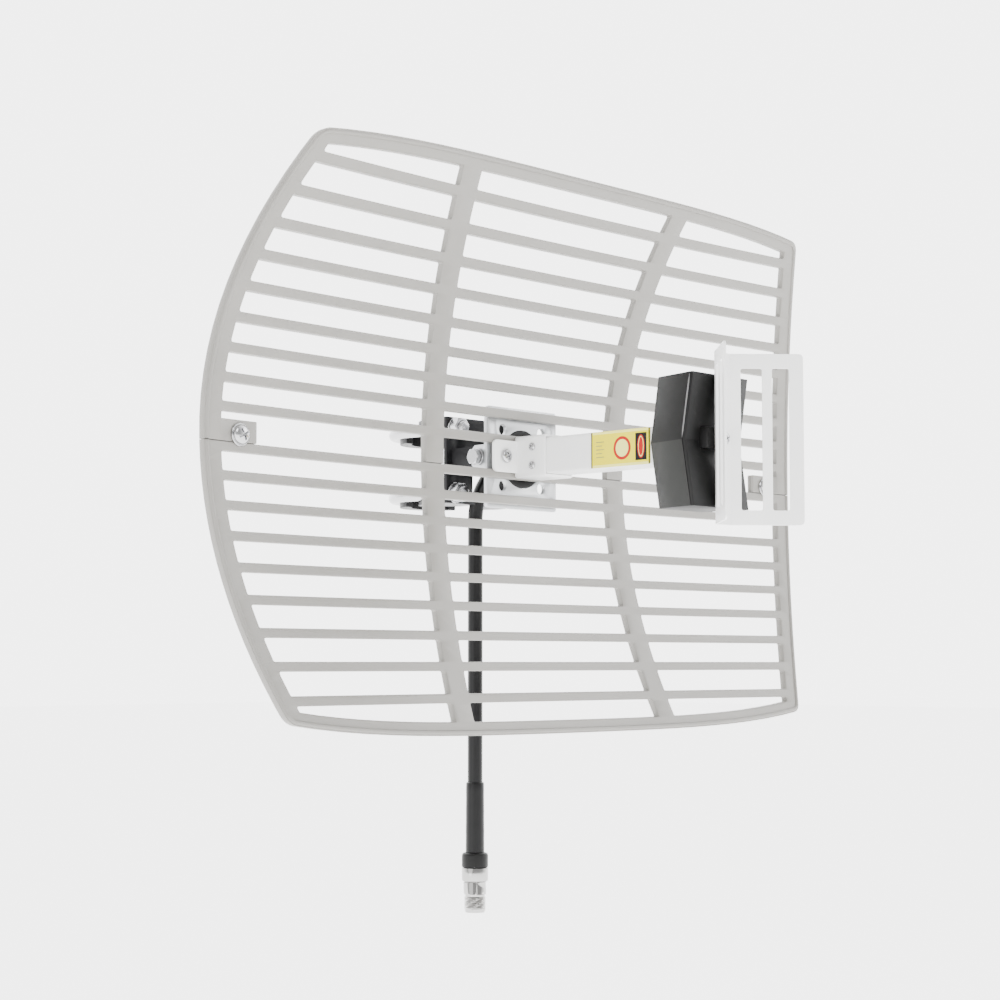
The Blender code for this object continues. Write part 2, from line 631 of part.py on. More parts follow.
def make_subreflector():
    """A sheet bent forward at 45 degrees on both sides, with two windows in each wing."""
    half = [0.0, SUB_WEB_HALF_WIDTH]
    for start, end in SUB_WINDOWS:
        half += [SUB_WEB_HALF_WIDTH + start, SUB_WEB_HALF_WIDTH + end]
    half.append(SUB_WEB_HALF_WIDTH + SUB_WING_LENGTH)
    lines = [-s for s in reversed(half[1:])] + half
    heights = [-SUB_HALF_HEIGHT, -SUB_WINDOW_HALF_HEIGHT, SUB_WINDOW_HALF_HEIGHT,
               SUB_HALF_HEIGHT]
    last = len(lines) - 1

    def is_open(i, j):
        return j == 1 and (i in (1, 3) or i in (last - 2, last - 4))

    def place(i, j):
        along = max(abs(lines[i]) - SUB_WEB_HALF_WIDTH, 0.0) * math.sqrt(0.5)
        flat = min(abs(lines[i]), SUB_WEB_HALF_WIDTH)
        return Vector((math.copysign(flat + along, lines[i]), SUB_WEB_Y - along,
                       heights[j] + SUB_CENTRE_Z))

    mesh = grid_mesh(last, len(heights) - 1, is_open, place)
    sheet = add_part("subreflector", mesh, "white_paint", HEAD)
    solid = sheet.modifiers.new("sheet", "SOLIDIFY")
    solid.thickness = SUB_SHEET
    solid.use_even_offset = True
    facing = sum(face.normal.y for face in sheet.data.polygons)
    solid.offset = 1.0 if facing < 0 else -1.0
    hole = cylinder_mesh((0, SUB_WEB_Y - 0.01, SUB_CENTRE_Z),
                         (0, SUB_WEB_Y + 0.005, SUB_CENTRE_Z), 0.0023, 16)
    boolean(sheet, "DIFFERENCE", add_cutter("subreflector_hole", hole, HEAD))
    pan_screw("subreflector_screw", (0, SUB_WEB_Y - SUB_SHEET - GAP, SUB_CENTRE_Z),
              (0, -1, 0), 0.0042, 0.0028, 0.0020, 0.0115, parent=HEAD)


# ---------------------------------------------------------------- mast clamp
def make_mast_bracket():
    """A folded channel: web, two notched flanges, and two ears for the pivot bolts."""
    half_width, half_height = BRACKET_HALF_WIDTH, BRACKET_HALF_HEIGHT
    web_bottom = -half_height
    slot = WEB_SLOT_HALF_WIDTH
    web = [(-half_width, half_height), (half_width, half_height), (half_width, web_bottom),
           (slot, web_bottom)]
    web += arc(0, WEB_SLOT_TOP_Z - slot, slot, 0, 180, 10)
    web += [(-slot, web_bottom), (-half_width, web_bottom)]
    middle = (WEB_FRONT_Y + WEB_BACK_Y) / 2
    mesh = outline_mesh([web], BRACKET_SHEET, (0, middle, 0), "XZ")
    bracket = add_part("mast_bracket", mesh, "dark_steel")
    notch = MAST_RADIUS * math.sqrt(2.0) + GAP
    horn_x = notch + HORN_Y
    for side, word in ((1, "upper"), (-1, "lower")):
        front = WEB_FRONT_Y + 0.0002
        outline = [(-half_width + 0.0002, front), (-half_width + 0.0002, -0.020),
                   (-horn_x - 0.003, HORN_Y), (-horn_x, HORN_Y)]
        if side > 0:
            outline += [(0.0, -notch)]
        else:
            cut = CABLE_SLOT_HALF_WIDTH
            outline += [(-cut, -notch + cut), (-cut, front), (cut, front), (cut, -notch + cut)]
        outline += [(horn_x, HORN_Y), (horn_x + 0.003, HORN_Y),
                    (half_width - 0.0002, -0.020), (half_width - 0.0002, front)]
        z = side * (half_height - BRACKET_SHEET / 2 - 0.0001)
        if side > 0:
            pieces = [outline]
        else:
            half_count = len(outline) // 2
            pieces = [outline[:half_count], outline[half_count:]]
        for number, piece in enumerate(pieces):
            flange = outline_mesh([piece], BRACKET_SHEET, (0, 0, z), "XY")
            cutter = add_cutter("bracket_flange_%s_%d" % (word, number), flange)
            boolean(bracket, "UNION", cutter)
    for side, word in ((-1, "left"), (1, "right")):
        ear = [(WEB_BACK_Y - 0.001, 0.0080), (WEB_BACK_Y - 0.001, -0.0080)]
        ear += [(PIVOT_Y + 0.009, -0.0080)]
        ear += arc(PIVOT_Y, 0, BRACKET_EAR_RADIUS, 270, 90, 10)
        ear += [(PIVOT_Y + 0.009, 0.0080)]
        hole = circle(PIVOT_Y, 0, PIVOT_HOLE_RADIUS, 20)
        x = side * (BRACKET_EAR_OUTER_X - BRACKET_SHEET / 2)
        ear_mesh = outline_mesh([ear, hole], BRACKET_SHEET, (x, 0, 0), "YZ")
        boolean(bracket, "UNION", add_cutter("bracket_ear_" + word, ear_mesh))
    for x in (-UBOLT_LEG_X, UBOLT_LEG_X):
        for z in (-CLAMP_Z, CLAMP_Z):
            hole = cylinder_mesh((x, WEB_FRONT_Y - 0.01, z), (x, WEB_BACK_Y + 0.01, z),
                                 UBOLT_ROD_RADIUS + 0.0004)
            boolean(bracket, "DIFFERENCE", add_cutter("bracket_ubolt_hole", hole))


def make_pivot_bolts():
    """Short bolts on one line, so that the cable can pass between them."""
    outer = PLATE_SIZE / 2 + GAP
    inner = BRACKET_EAR_OUTER_X - BRACKET_SHEET - GAP
    for side, word in ((-1, "left"), (1, "right")):
        washer("pivot_washer_" + word, (side * outer, PIVOT_Y, 0), (side, 0, 0), 0.0060,
               PIVOT_HOLE_RADIUS, 0.0012, "bright_steel")
        start = outer + 0.0012 + GAP
        bolt = add_part("pivot_bolt_" + word,
                        cylinder_mesh((side * start, PIVOT_Y, 0),
                                      (side * (start + 0.004), PIVOT_Y, 0), 0.00577, 6),
                        "bright_steel")
        shank = cylinder_mesh((side * (start + 0.001), PIVOT_Y, 0),
                              (side * (inner - 0.0062), PIVOT_Y, 0), 0.0030, 20)
        boolean(bolt, "UNION", add_cutter("pivot_shank_" + word, shank))
        hex_nut("pivot_nut_" + word, (side * inner, PIVOT_Y, 0),
                (side * (inner - 0.005), PIVOT_Y, 0), 0.0098, PIVOT_HOLE_RADIUS,
                "bright_steel")


def make_ubolt(word, level, parent):
    """A round rod bent into a U, with its legs pointing at the dish."""
    route = [(-UBOLT_LEG_X, UBOLT_TIP_Y)]
    route += [(-UBOLT_LEG_X, UBOLT_BEND_Y - 0.010)]
    route += arc(0, UBOLT_BEND_Y, UBOLT_LEG_X, 180, 0, 16)
    route += [(UBOLT_LEG_X, UBOLT_BEND_Y - 0.010), (UBOLT_LEG_X, UBOLT_TIP_Y)]
    add_tube(word + "_ubolt", [(x, y, level) for x, y in route], UBOLT_ROD_RADIUS, 2,
             "bright_steel", parent)
    outer = UBOLT_LEG_X - UBOLT_ROD_RADIUS - GAP
    inner = MAST_RADIUS + GAP
    saddle = arc(0, UBOLT_BEND_Y, outer, 8, 172, 18)
    rest = arc(0, 0, inner, 150, 30, 14)
    mesh = outline_mesh([saddle + rest], SADDLE_HEIGHT, (0, 0, level), "XY")
    add_part(word + "_saddle", mesh, "dark_steel", parent)
    for side, end in ((-1, "left"), (1, "right")):
        x = side * UBOLT_LEG_X
        washer("%s_clamp_washer_%s" % (word, end), (x, WEB_FRONT_Y - GAP, level), (0, -1, 0),
               0.0074, UBOLT_ROD_RADIUS + GAP, 0.0014, "bright_steel")
        start = WEB_FRONT_Y - 2 * GAP - 0.0014
        hex_nut("%s_clamp_nut_%s" % (word, end), (x, start, level), (x, start - 0.006, level),
                0.0128, UBOLT_ROD_RADIUS + GAP, "bright_steel")


# ---------------------------------------------------------------- cable and connector
def add_tube(name, points, radius, resolution, material, parent=None):
    curve = bpy.data.curves.new(name, "CURVE")
    curve.dimensions = "3D"
    curve.bevel_depth = radius
    curve.bevel_resolution = resolution
    curve.use_fill_caps = True
    curve.render_resolution_u = 0
    spline = curve.splines.new("POLY")
    spline.points.add(len(points) - 1)
    offset = parent.location if parent is not None else Vector()
    for point, place in zip(spline.points, points):
        point.co = (*(Vector(place) - offset), 1.0)
    curve.materials.append(MATERIALS[material])
    tube = bpy.data.objects.new(name, curve)
    tube.parent = parent
    ANTENNA.objects.link(tube)
    return tube


def cable_route():
    """Out of the gland level, a quarter turn down, and straight down beside the mast."""
    start = CABLE_EXIT_Y + CABLE_STRAIGHT
    radius = CABLE_DROP_Y - start
    turn = [(0.0, CABLE_EXIT_Y, 0.0)]
    turn += [(0.0, start + radius * math.sin(a), radius * (math.cos(a) - 1.0))
             for a in (math.radians(9 * k) for k in range(11))]
    drop = COLLAR_TOP_Z + GAP + radius
    steps = 8
    return turn + [(0.0, CABLE_DROP_Y, -radius + drop * k / steps)
                   for k in range(1, steps + 1)]


def make_cable():
    add_tube("coax_cable", cable_route(), CABLE_RADIUS, 2, "cable_jacket")
    down = (0.0, 0.0, 1.0)
    inner = CABLE_RADIUS + GAP
    sleeve_bottom = COLLAR_TOP_Z + GAP
    height = SLEEVE_TOP_Z - sleeve_bottom
    profile = [(inner + 0.0005, height), (0.0065, height - 0.002), (0.0068, 0.0),
               (inner, 0.0), (inner, height)]
    add_part("cable_sleeve", turned_mesh(profile, (0, CABLE_DROP_Y, sleeve_bottom), down, 24),
             "cable_jacket", None, 35)
    height = COLLAR_TOP_Z - CONNECTOR_TOP_Z - GAP
    shoulder = CONNECTOR_RADIUS - 0.0016
    profile = [(0.0, height), (shoulder, height), (CONNECTOR_RADIUS - 0.0004, height - 0.0005),
               (CONNECTOR_RADIUS, height - 0.0018), (CONNECTOR_RADIUS, 0.0), (0.0, 0.0)]
    add_part("cable_collar",
             turned_mesh(profile, (0, CABLE_DROP_Y, CONNECTOR_TOP_Z + GAP), down, 28),
             "black_plastic", None, 35)


def make_connector():
    """A jack: a clamp nut round its shank, a shoulder, and the barrel that a plug screws on."""
    up = (0.0, 0.0, 1.0)
    place = (0.0, CABLE_DROP_Y, CONNECTOR_TOP_Z)
    depth = CONNECTOR_TOP_Z - CONNECTOR_BOTTOM_Z
    shank = 0.0055
    nut = [(shank + GAP, -0.0001), (CONNECTOR_RADIUS - 0.0004, -0.0001),
           (CONNECTOR_RADIUS, -0.0005), (CONNECTOR_RADIUS, -0.0092),
           (CONNECTOR_RADIUS - 0.0005, -0.0097), (shank + GAP, -0.0097)]
    add_part("clamp_nut", turned_mesh(nut, place, up, 28), "nickel", None, 30)
    body = [(0.0, -0.0003), (shank, -0.0003), (shank, -0.0100), (0.0080, -0.0100),
            (0.0084, -0.0104), (0.0084, -0.0186), (0.0079, -0.0191), (0.0071, -0.0191),
            (0.0071, -0.0205), (THREAD_RADIUS, -0.0213), (THREAD_RADIUS, -0.0285),
            (0.0070, -depth), (0.0058, -depth), (0.0050, -depth + 0.0010),
            (0.0050, -0.0205), (0.0, -0.0205)]
    add_part("connector_body", turned_mesh(body, place, up, 28), "nickel", None, 30)
    insulator = [(0.0019, -0.0208), (0.0047, -0.0208), (0.0047, -0.0240), (0.0019, -0.0240)]
    add_part("connector_insulator", turned_mesh(insulator, place, up, 20), "insulator",
             None, 30)
    contact = [(0.0, -0.0208), (0.0016, -0.0208), (0.0016, -0.0260), (0.0008, -0.0260),
               (0.0008, -0.0228), (0.0, -0.0228)]
    add_part("centre_contact", turned_mesh(contact, place, up, 16), "brass", None, 30)


make_reflector()
make_hub_plate()
make_cable_gland()
make_feed_socket()
make_feed_arm()
make_housing()
make_subreflector()
make_mast_bracket()
make_pivot_bolts()
make_ubolt("upper", CLAMP_Z, UPPER_CLAMP)
make_ubolt("lower", -CLAMP_Z, LOWER_CLAMP)
make_cable()
make_connector()
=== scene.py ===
"""The looks of the parabolic grid antenna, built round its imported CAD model.

Metres, +Z up, in the CAD model's own frame: the mast's axis is the origin, and the antenna
looks along -Y.
"""
import json
import math

import bmesh
import bpy
from mathutils import Matrix, Vector


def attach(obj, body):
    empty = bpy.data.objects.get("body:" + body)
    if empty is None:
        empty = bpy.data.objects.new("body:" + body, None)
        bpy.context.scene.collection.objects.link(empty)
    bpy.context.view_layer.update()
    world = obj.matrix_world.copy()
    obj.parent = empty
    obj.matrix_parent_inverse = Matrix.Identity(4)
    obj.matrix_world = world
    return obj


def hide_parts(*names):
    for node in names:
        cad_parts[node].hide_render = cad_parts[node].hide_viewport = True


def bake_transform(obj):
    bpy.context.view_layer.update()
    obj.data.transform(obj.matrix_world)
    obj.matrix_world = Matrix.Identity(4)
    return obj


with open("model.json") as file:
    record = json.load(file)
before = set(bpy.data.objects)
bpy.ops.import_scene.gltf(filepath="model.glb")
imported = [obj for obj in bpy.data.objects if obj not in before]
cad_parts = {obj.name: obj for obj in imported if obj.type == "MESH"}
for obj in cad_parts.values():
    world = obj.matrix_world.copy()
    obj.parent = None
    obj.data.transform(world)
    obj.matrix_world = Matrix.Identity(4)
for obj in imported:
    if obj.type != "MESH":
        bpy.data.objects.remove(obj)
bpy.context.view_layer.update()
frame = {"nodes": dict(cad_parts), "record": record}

# ---------------------------------------------------------------- sizes shared with the CAD
GAP = 0.0003
MAST_RADIUS = 0.0212

DISH_HALF_WIDTH = 0.2998     # a hair inside the CAD's outline
CAST_DEPTH = 0.0055
CURVE_X = 0.113
CURVE_Z = 1.523
LOWER_CURVE_Z = 1.180
VERTEX_Y = -0.088
BARS_PER_HALF = 9
FIRST_BAR_Z = 0.0124
BAR_PITCH = 0.01775
BAR_PITCH_GROWTH = 0.00022
BAR_HEIGHT = 0.0062
RIM_Z = 0.1889
RIM_WIDTH = 0.0090
RIM_DROP_2 = 0.0024
RIM_DROP_4 = 0.0157
SIDE_RIM_INNER_X = 0.2857
SIDE_RIM_BOW = {1: 1.515, -1: 1.165}     # upper half, lower half
RIB_INNER_X = 0.0854
RIB_OUTER_X = 0.1028
RIB_BOW = {1: 0.452, -1: 0.315}
SEAM_Z = -(FIRST_BAR_Z - BAR_HEIGHT / 2)
TAB_TOP_Z = 0.0047
CORNER_RADIUS = 0.022
BEAD_INSET = 0.0021
BEAD_SINK = 0.0006
TAB_INNER_X = 0.256
RIM_SCREW_X = 0.2706
RIM_SCREW_Z = -0.0045

PLATE_FRONT_Y = VERTEX_Y + CAST_DEPTH + GAP
PLATE_BACK_Y = PLATE_FRONT_Y + 0.003
PLATE_BORE_RADIUS = 0.021
PIVOT_Y = PLATE_BACK_Y + GAP + 0.0059
PIVOT_HOLE_RADIUS = 0.0033
PLATE_HALF = 0.036
BRACKET_EAR_INNER_X = PLATE_HALF - 0.003 - GAP - 0.003

WEB_FRONT_Y = -0.044
CLAMP_Z = 0.0235
UBOLT_ROD_RADIUS = 0.004
UBOLT_LEG_X = 0.030
UBOLT_BEND_Y = 0.007
UBOLT_TIP_Y = -0.055
SADDLE_HEIGHT = 0.014

SOCKET_BACK_Y = VERTEX_Y - 0.0009
SOCKET_SHEET = 0.002
SOCKET_OUTER = 0.0296
SOCKET_LENGTH = 0.0285
FLANGE_SPAN = 0.076
FLANGE_HEIGHT = 0.0226
SOCKET_SCREW_X = 0.0262
ARM_SIZE = 0.0254
ARM_WALL = 0.0015
ARM_FRONT_Y = -0.232
ARM_SCREW_Z = 0.0065
ARM_SCREW_Y = -0.1060
LABEL_Y = (-0.2116, -0.1593)
LABEL_HEIGHT = 0.0246
LABEL_THICKNESS = 0.0004

HOUSING_HALF_HEIGHT = 0.0438
HOUSING_REAR_HALF_WIDTH = 0.022
HOUSING_RIDGE_HALF_WIDTH = 0.030
HOUSING_FRONT_HALF_WIDTH = 0.0292
HOUSING_REAR_Y = -0.2192
HOUSING_RIDGE_Y = -0.2523
HOUSING_FRONT_Y = -0.2543
HOUSING_LEAN = 0.0070
HOUSING_WALL = 0.002

SUB_WEB_Y = -0.2620
SUB_SHEET = 0.0015
SUB_WEB_HALF_WIDTH = 0.008
SUB_WING_LENGTH = 0.049
SUB_HALF_HEIGHT = 0.0568
SUB_CENTRE_Z = 0.0018
SUB_WINDOW_HALF_HEIGHT = 0.0470
SUB_WINDOWS = ((0.0074, 0.0216), (0.0282, 0.0395))
SUB_BEND_RADIUS = 0.0030

UBOLT_PITCH = 0.00125
UBOLT_GROOVE = 0.0005
JACK_PITCH = 0.00106
JACK_GROOVE = 0.00055
SCREW_TURN = 28

CABLE_RADIUS = 0.0054
CABLE_EXIT_Y = -0.0785
CABLE_STRAIGHT = 0.0012
CABLE_DROP_Y = -0.0355
SLEEVE_TOP_Z = -0.2310
COLLAR_TOP_Z = -0.2812
CONNECTOR_TOP_Z = -0.2918
CONNECTOR_BOTTOM_Z = -0.3236
CONNECTOR_RADIUS = 0.00955
THREAD_RADIUS = 0.00794

BODY_OF = {node: body for body, nodes in frame["record"]["behaviour"]["bodies"].items()
           for node in nodes}
SLOT_OF = {row["node"]: row["material_slot"] for row in frame["record"]["subparts"]}
replaced = set()


# ---------------------------------------------------------------- materials
def scaled(colour, factor):
    return tuple(min(1.0, channel * factor) for channel in colour) + (1.0,)


def finish(name, colour, roughness, metallic=0.0, mottle=0.04, mottle_scale=45.0,
           spread=0.06, grain=0.10, grain_scale=900.0, stretch=(1.0, 1.0, 1.0), speck=0.0,
           specular=0.5):
    """A surface whose colour, gloss and fine relief vary with the place on the piece."""
    material = bpy.data.materials.new(name)
    material.use_nodes = True
    tree = material.node_tree
    nodes, links = tree.nodes, tree.links
    shader = nodes["Principled BSDF"]
    shader.inputs["Metallic"].default_value = metallic
    shader.inputs["Specular IOR Level"].default_value = specular
    coordinates = nodes.new("ShaderNodeTexCoord")
    mapping = nodes.new("ShaderNodeMapping")
    mapping.inputs["Scale"].default_value = stretch
    links.new(coordinates.outputs["Object"], mapping.inputs["Vector"])

    patches = nodes.new("ShaderNodeTexNoise")
    patches.inputs["Scale"].default_value = mottle_scale
    patches.inputs["Detail"].default_value = 5.0
    links.new(mapping.outputs["Vector"], patches.inputs["Vector"])
    ramp = nodes.new("ShaderNodeValToRGB")
    ramp.color_ramp.elements[0].position = 0.30
    ramp.color_ramp.elements[0].color = scaled(colour, 1.0 - mottle)
    ramp.color_ramp.elements[1].position = 0.70
    ramp.color_ramp.elements[1].color = scaled(colour, 1.0 + mottle)
    links.new(patches.outputs["Fac"], ramp.inputs["Fac"])
    tint = ramp.outputs["Color"]

    fine = nodes.new("ShaderNodeTexNoise")
    fine.inputs["Scale"].default_value = grain_scale
    fine.inputs["Detail"].default_value = 3.0
    links.new(mapping.outputs["Vector"], fine.inputs["Vector"])
    if speck:
        dots = nodes.new("ShaderNodeValToRGB")
        dots.color_ramp.elements[0].position = 0.66
        dots.color_ramp.elements[0].color = (0.0, 0.0, 0.0, 1.0)
        dots.color_ramp.elements[1].position = 0.74
        dots.color_ramp.elements[1].color = (1.0, 1.0, 1.0, 1.0)
        links.new(fine.outputs["Fac"], dots.inputs["Fac"])
        mix = nodes.new("ShaderNodeMix")
        mix.data_type = "RGBA"
        links.new(dots.outputs["Color"], mix.inputs["Factor"])
        links.new(tint, mix.inputs["A"])
        mix.inputs["B"].default_value = scaled(colour, 1.0 - speck)
        tint = mix.outputs["Result"]
    links.new(tint, shader.inputs["Base Color"])

    gloss = nodes.new("ShaderNodeMapRange")
    gloss.inputs["From Min"].default_value = 0.3
    gloss.inputs["From Max"].default_value = 0.7
    gloss.inputs["To Min"].default_value = max(0.03, roughness - spread)
    gloss.inputs["To Max"].default_value = roughness + spread
    links.new(patches.outputs["Fac"], gloss.inputs["Value"])
    links.new(gloss.outputs["Result"], shader.inputs["Roughness"])

    bump = nodes.new("ShaderNodeBump")
    bump.inputs["Strength"].default_value = grain
    bump.inputs["Distance"].default_value = 0.0003
    links.new(fine.outputs["Fac"], bump.inputs["Height"])
    links.new(bump.outputs["Normal"], shader.inputs["Normal"])
    return material


MATERIALS = {
    "grid_paint": finish("grid_powder_coat", (0.235, 0.226, 0.208), 0.40, mottle=0.035,
                         grain=0.16, grain_scale=1100.0, speck=0.05),
    "white_paint": finish("white_powder_coat", (0.87, 0.87, 0.86), 0.36, mottle=0.015,
                          grain=0.10, grain_scale=1300.0),
    "zinc_plate": finish("zinc_plated_sheet", (0.50, 0.51, 0.52), 0.34, 0.75, mottle=0.05,
                         mottle_scale=70.0, grain=0.12, grain_scale=500.0,
                         stretch=(1.0, 1.0, 8.0)),
    "dark_steel": finish("dark_coated_steel", (0.009, 0.009, 0.010), 0.40, 0.2, specular=0.25,
                         mottle=0.12, grain=0.20, grain_scale=1000.0),
    "bright_steel": finish("stainless_steel", (0.50, 0.50, 0.51), 0.22, 1.0, mottle=0.04,
                           mottle_scale=120.0, spread=0.05, grain=0.06),
    "black_plastic": finish("black_plastic", (0.004, 0.004, 0.004), 0.46, mottle=0.08, specular=0.22,
                            grain=0.25, grain_scale=1500.0),
    "cable_jacket": finish("cable_jacket", (0.003, 0.003, 0.0032), 0.33, mottle=0.10, specular=0.22,
                           grain=0.08, stretch=(1.0, 1.0, 0.25)),
    "nickel": finish("nickel_plate", (0.40, 0.395, 0.385), 0.13, 1.0, mottle=0.03,
                     mottle_scale=150.0, spread=0.04, grain=0.03),
    "label_film": finish("yellow_film", (0.80, 0.70, 0.0), 0.34, mottle=0.02, grain=0.03, specular=0.2),
    "circuit_board": finish("solder_mask", (0.03, 0.18, 0.08), 0.42, mottle=0.06),
    "brass": finish("brass_strip", (0.72, 0.53, 0.24), 0.25, 1.0, mottle=0.05),
    "insulator": finish("white_insulator", (0.84, 0.83, 0.79), 0.42, mottle=0.02),
}
INKS = {
    "black": finish("black_ink", (0.004, 0.004, 0.004), 0.35, specular=0.25, mottle=0.05, grain=0.03),
    "red": finish("red_ink", (0.42, 0.008, 0.004), 0.33, specular=0.25, mottle=0.04, grain=0.03),
    "pale": finish("pale_yellow_ink", (0.88, 0.84, 0.22), 0.34, specular=0.2, mottle=0.02, grain=0.03),
    "grey": finish("grey_ink", (0.30, 0.27, 0.08), 0.35, mottle=0.05, grain=0.03),
}
# Light grey for the thin strips along the housing's ridge: a painted highlight standing in for the
# light that the ridge's edge catches.
SEAM_HIGHLIGHT = finish("painted_seam_highlight", (0.12, 0.12, 0.12), 0.40, mottle=0.10, grain=0.2)
LOWER_FACET_PLASTIC = finish("lower_facet_plastic", (0.012, 0.0125, 0.0115), 0.40, mottle=0.08, specular=0.3,
                      grain=0.25, grain_scale=1500.0)


# ---------------------------------------------------------------- mesh helpers
def to_mesh(shape, name="shape"):
    bmesh.ops.recalc_face_normals(shape, faces=shape.faces)
    mesh = bpy.data.meshes.new(name)
    shape.to_mesh(mesh)
    shape.free()
    return mesh


def piece(name, mesh, material, nodes, smooth=32, rides=True):
    """Show a mesh in place of one or more CAD nodes, riding on the first one's body."""
    mesh.name = name
    if isinstance(material, str):
        mesh.materials.clear()
        mesh.materials.append(MATERIALS[material])
    mesh.shade_smooth()
    mesh.set_sharp_from_angle(angle=math.radians(smooth))
    item = bpy.data.objects.new(name, mesh)
    bpy.context.scene.collection.objects.link(item)
    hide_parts(*nodes)
    if rides:
        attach(item, BODY_OF[nodes[0]])
    replaced.update(nodes)
    return item


def arc(x, y, radius, start, end, steps):
    angles = [math.radians(start + (end - start) * k / steps) for k in range(steps + 1)]
    return [(x + radius * math.cos(a), y + radius * math.sin(a)) for a in angles]


def circle(x, y, radius, sides=32):
    return arc(x, y, radius, 0, 360 * (sides - 1) / sides, sides - 1)


def rounded(points, radius, steps=5, least=20, above=-9.0):
    """Round each real corner of a closed outline that is high enough."""
    result = []
    count = len(points)
    for k in range(count):
        before, here, after = (Vector(points[(k + d) % count]) for d in (-1, 0, 1))
        first, second = before - here, after - here
        turn = math.pi - first.angle(second)
        if turn < math.radians(least) or here.y < above:
            result.append(tuple(here))
            continue
        trim = min(radius * math.tan(turn / 2), first.length * 0.49, second.length * 0.49)
        start = here + first.normalized() * trim
        end = here + second.normalized() * trim
        for step in range(steps + 1):
            share = step / steps
            bend = (1 - share) ** 2 * start + 2 * share * (1 - share) * here
            result.append(tuple(bend + share ** 2 * end))
    return result


PLANES = {
    "XY": Matrix.Identity(4),
    "XZ": Matrix.Rotation(math.radians(90), 4, "X"),
    "YZ": Matrix(((0, 0, 1, 0), (1, 0, 0, 0), (0, 1, 0, 0), (0, 0, 0, 1))),
}


def plate(loops, thickness, place, plane, edge=0.0):
    """A flat plate from closed outlines, with its edges rounded by a small radius."""
    curve = bpy.data.curves.new("outline", "CURVE")
    curve.dimensions = "2D"
    curve.fill_mode = "BOTH"
    curve.extrude = thickness / 2 - edge
    curve.bevel_depth = edge
    curve.bevel_resolution = 1
    curve.offset = -edge
    for loop in loops:
        spline = curve.splines.new("POLY")
        spline.points.add(len(loop) - 1)
        for point, (x, y) in zip(spline.points, loop):
            point.co = (x, y, 0.0, 1.0)
        spline.use_cyclic_u = True
    holder = bpy.data.objects.new("outline", curve)
    bpy.context.scene.collection.objects.link(holder)
    graph = bpy.context.evaluated_depsgraph_get()
    mesh = bpy.data.meshes.new_from_object(holder.evaluated_get(graph))
    bpy.data.objects.remove(holder, do_unlink=True)
    mesh.transform(Matrix.Translation(place) @ PLANES[plane])
    shape = bmesh.new()
    shape.from_mesh(mesh)
    bpy.data.meshes.remove(mesh)
    bmesh.ops.remove_doubles(shape, verts=shape.verts, dist=1e-6)
    return to_mesh(shape)


def box(low, high, edge=0.0):
    low, high = Vector(low), Vector(high)
    size, middle = high - low, (low + high) / 2
    shape = bmesh.new()
    matrix = Matrix.Translation(middle) @ Matrix.Diagonal((*size, 1.0))
    bmesh.ops.create_cube(shape, size=1.0, matrix=matrix)
    if edge:
        bmesh.ops.bevel(shape, geom=list(shape.edges), offset=edge, segments=2,
                        affect="EDGES", profile=0.5)
    return to_mesh(shape)


def turned(profile, place, axis, sides=48, wave=None):
    """Turn (radius, height) points about an axis. A wave shifts the radius by place."""
    turn = Vector(axis).to_track_quat("Z", "Y").to_matrix()
    place = Vector(place)
    shape = bmesh.new()
    rings = []
    for radius, height in profile:
        if radius < 1e-7:
            rings.append([shape.verts.new(place + turn @ Vector((0, 0, height)))])
            continue
        ring = []
        for k in range(sides):
            angle = math.tau * k / sides
            reach = radius - (wave(radius, height, angle) if wave else 0.0)
            local = Vector((reach * math.cos(angle), reach * math.sin(angle), height))
            ring.append(shape.verts.new(place + turn @ local))
        rings.append(ring)
    pairs = list(zip(rings, rings[1:]))
    if len(rings[0]) > 1 or len(rings[-1]) > 1:
        pairs.append((rings[-1], rings[0]))
    for near, far in pairs:
        for k in range(sides):
            after = (k + 1) % sides
            if len(near) == 1:
                shape.faces.new((near[0], far[k], far[after]))
            elif len(far) == 1:
                shape.faces.new((near[k], far[0], near[after]))
            else:
                shape.faces.new((near[k], near[after], far[after], far[k]))
    return to_mesh(shape)


def swept(route, radius, binormal, sides=32, wave=None):
    """A round rod along a flat route, with small chamfers at its ends."""
    points = [Vector(point) for point in route]
    binormal = Vector(binormal)
    shape = bmesh.new()
    rings = []
    travelled = 0.0
    last = len(points) - 1
    for k, point in enumerate(points):
        ahead = points[min(k + 1, last)] - points[max(k - 1, 0)]
        normal = ahead.normalized().cross(binormal)
        if k:
            travelled += (point - points[k - 1]).length
        inset = 0.0004 if k in (0, last) else 0.0
        ring = []
        for side in range(sides):
            angle = math.tau * side / sides
            reach = radius - inset - (wave(point, travelled, angle) if wave else 0.0)
            offset = normal * (reach * math.cos(angle)) + binormal * (reach * math.sin(angle))
            ring.append(shape.verts.new(point + offset))
        rings.append(ring)
    for near, far in zip(rings, rings[1:]):
        for k in range(sides):
            after = (k + 1) % sides
            shape.faces.new((near[k], near[after], far[after], far[k]))
    shape.faces.new(rings[0])
    shape.faces.new(rings[-1])
    return to_mesh(shape)


def combine(base, operation, others):
    """The result of exact Booleans of a mesh with other meshes."""
    holder = bpy.data.objects.new("base", base)
    bpy.context.scene.collection.objects.link(holder)
    helpers = []
    for other in others:
        helper = bpy.data.objects.new("helper", other)
        bpy.context.scene.collection.objects.link(helper)
        modifier = holder.modifiers.new("combine", "BOOLEAN")
        modifier.operation = operation
        modifier.solver = "EXACT"
        modifier.object = helper
        helpers.append(helper)
    graph = bpy.context.evaluated_depsgraph_get()
    mesh = bpy.data.meshes.new_from_object(holder.evaluated_get(graph))
    for item in [holder] + helpers:
        bpy.data.objects.remove(item, do_unlink=True)
    return mesh


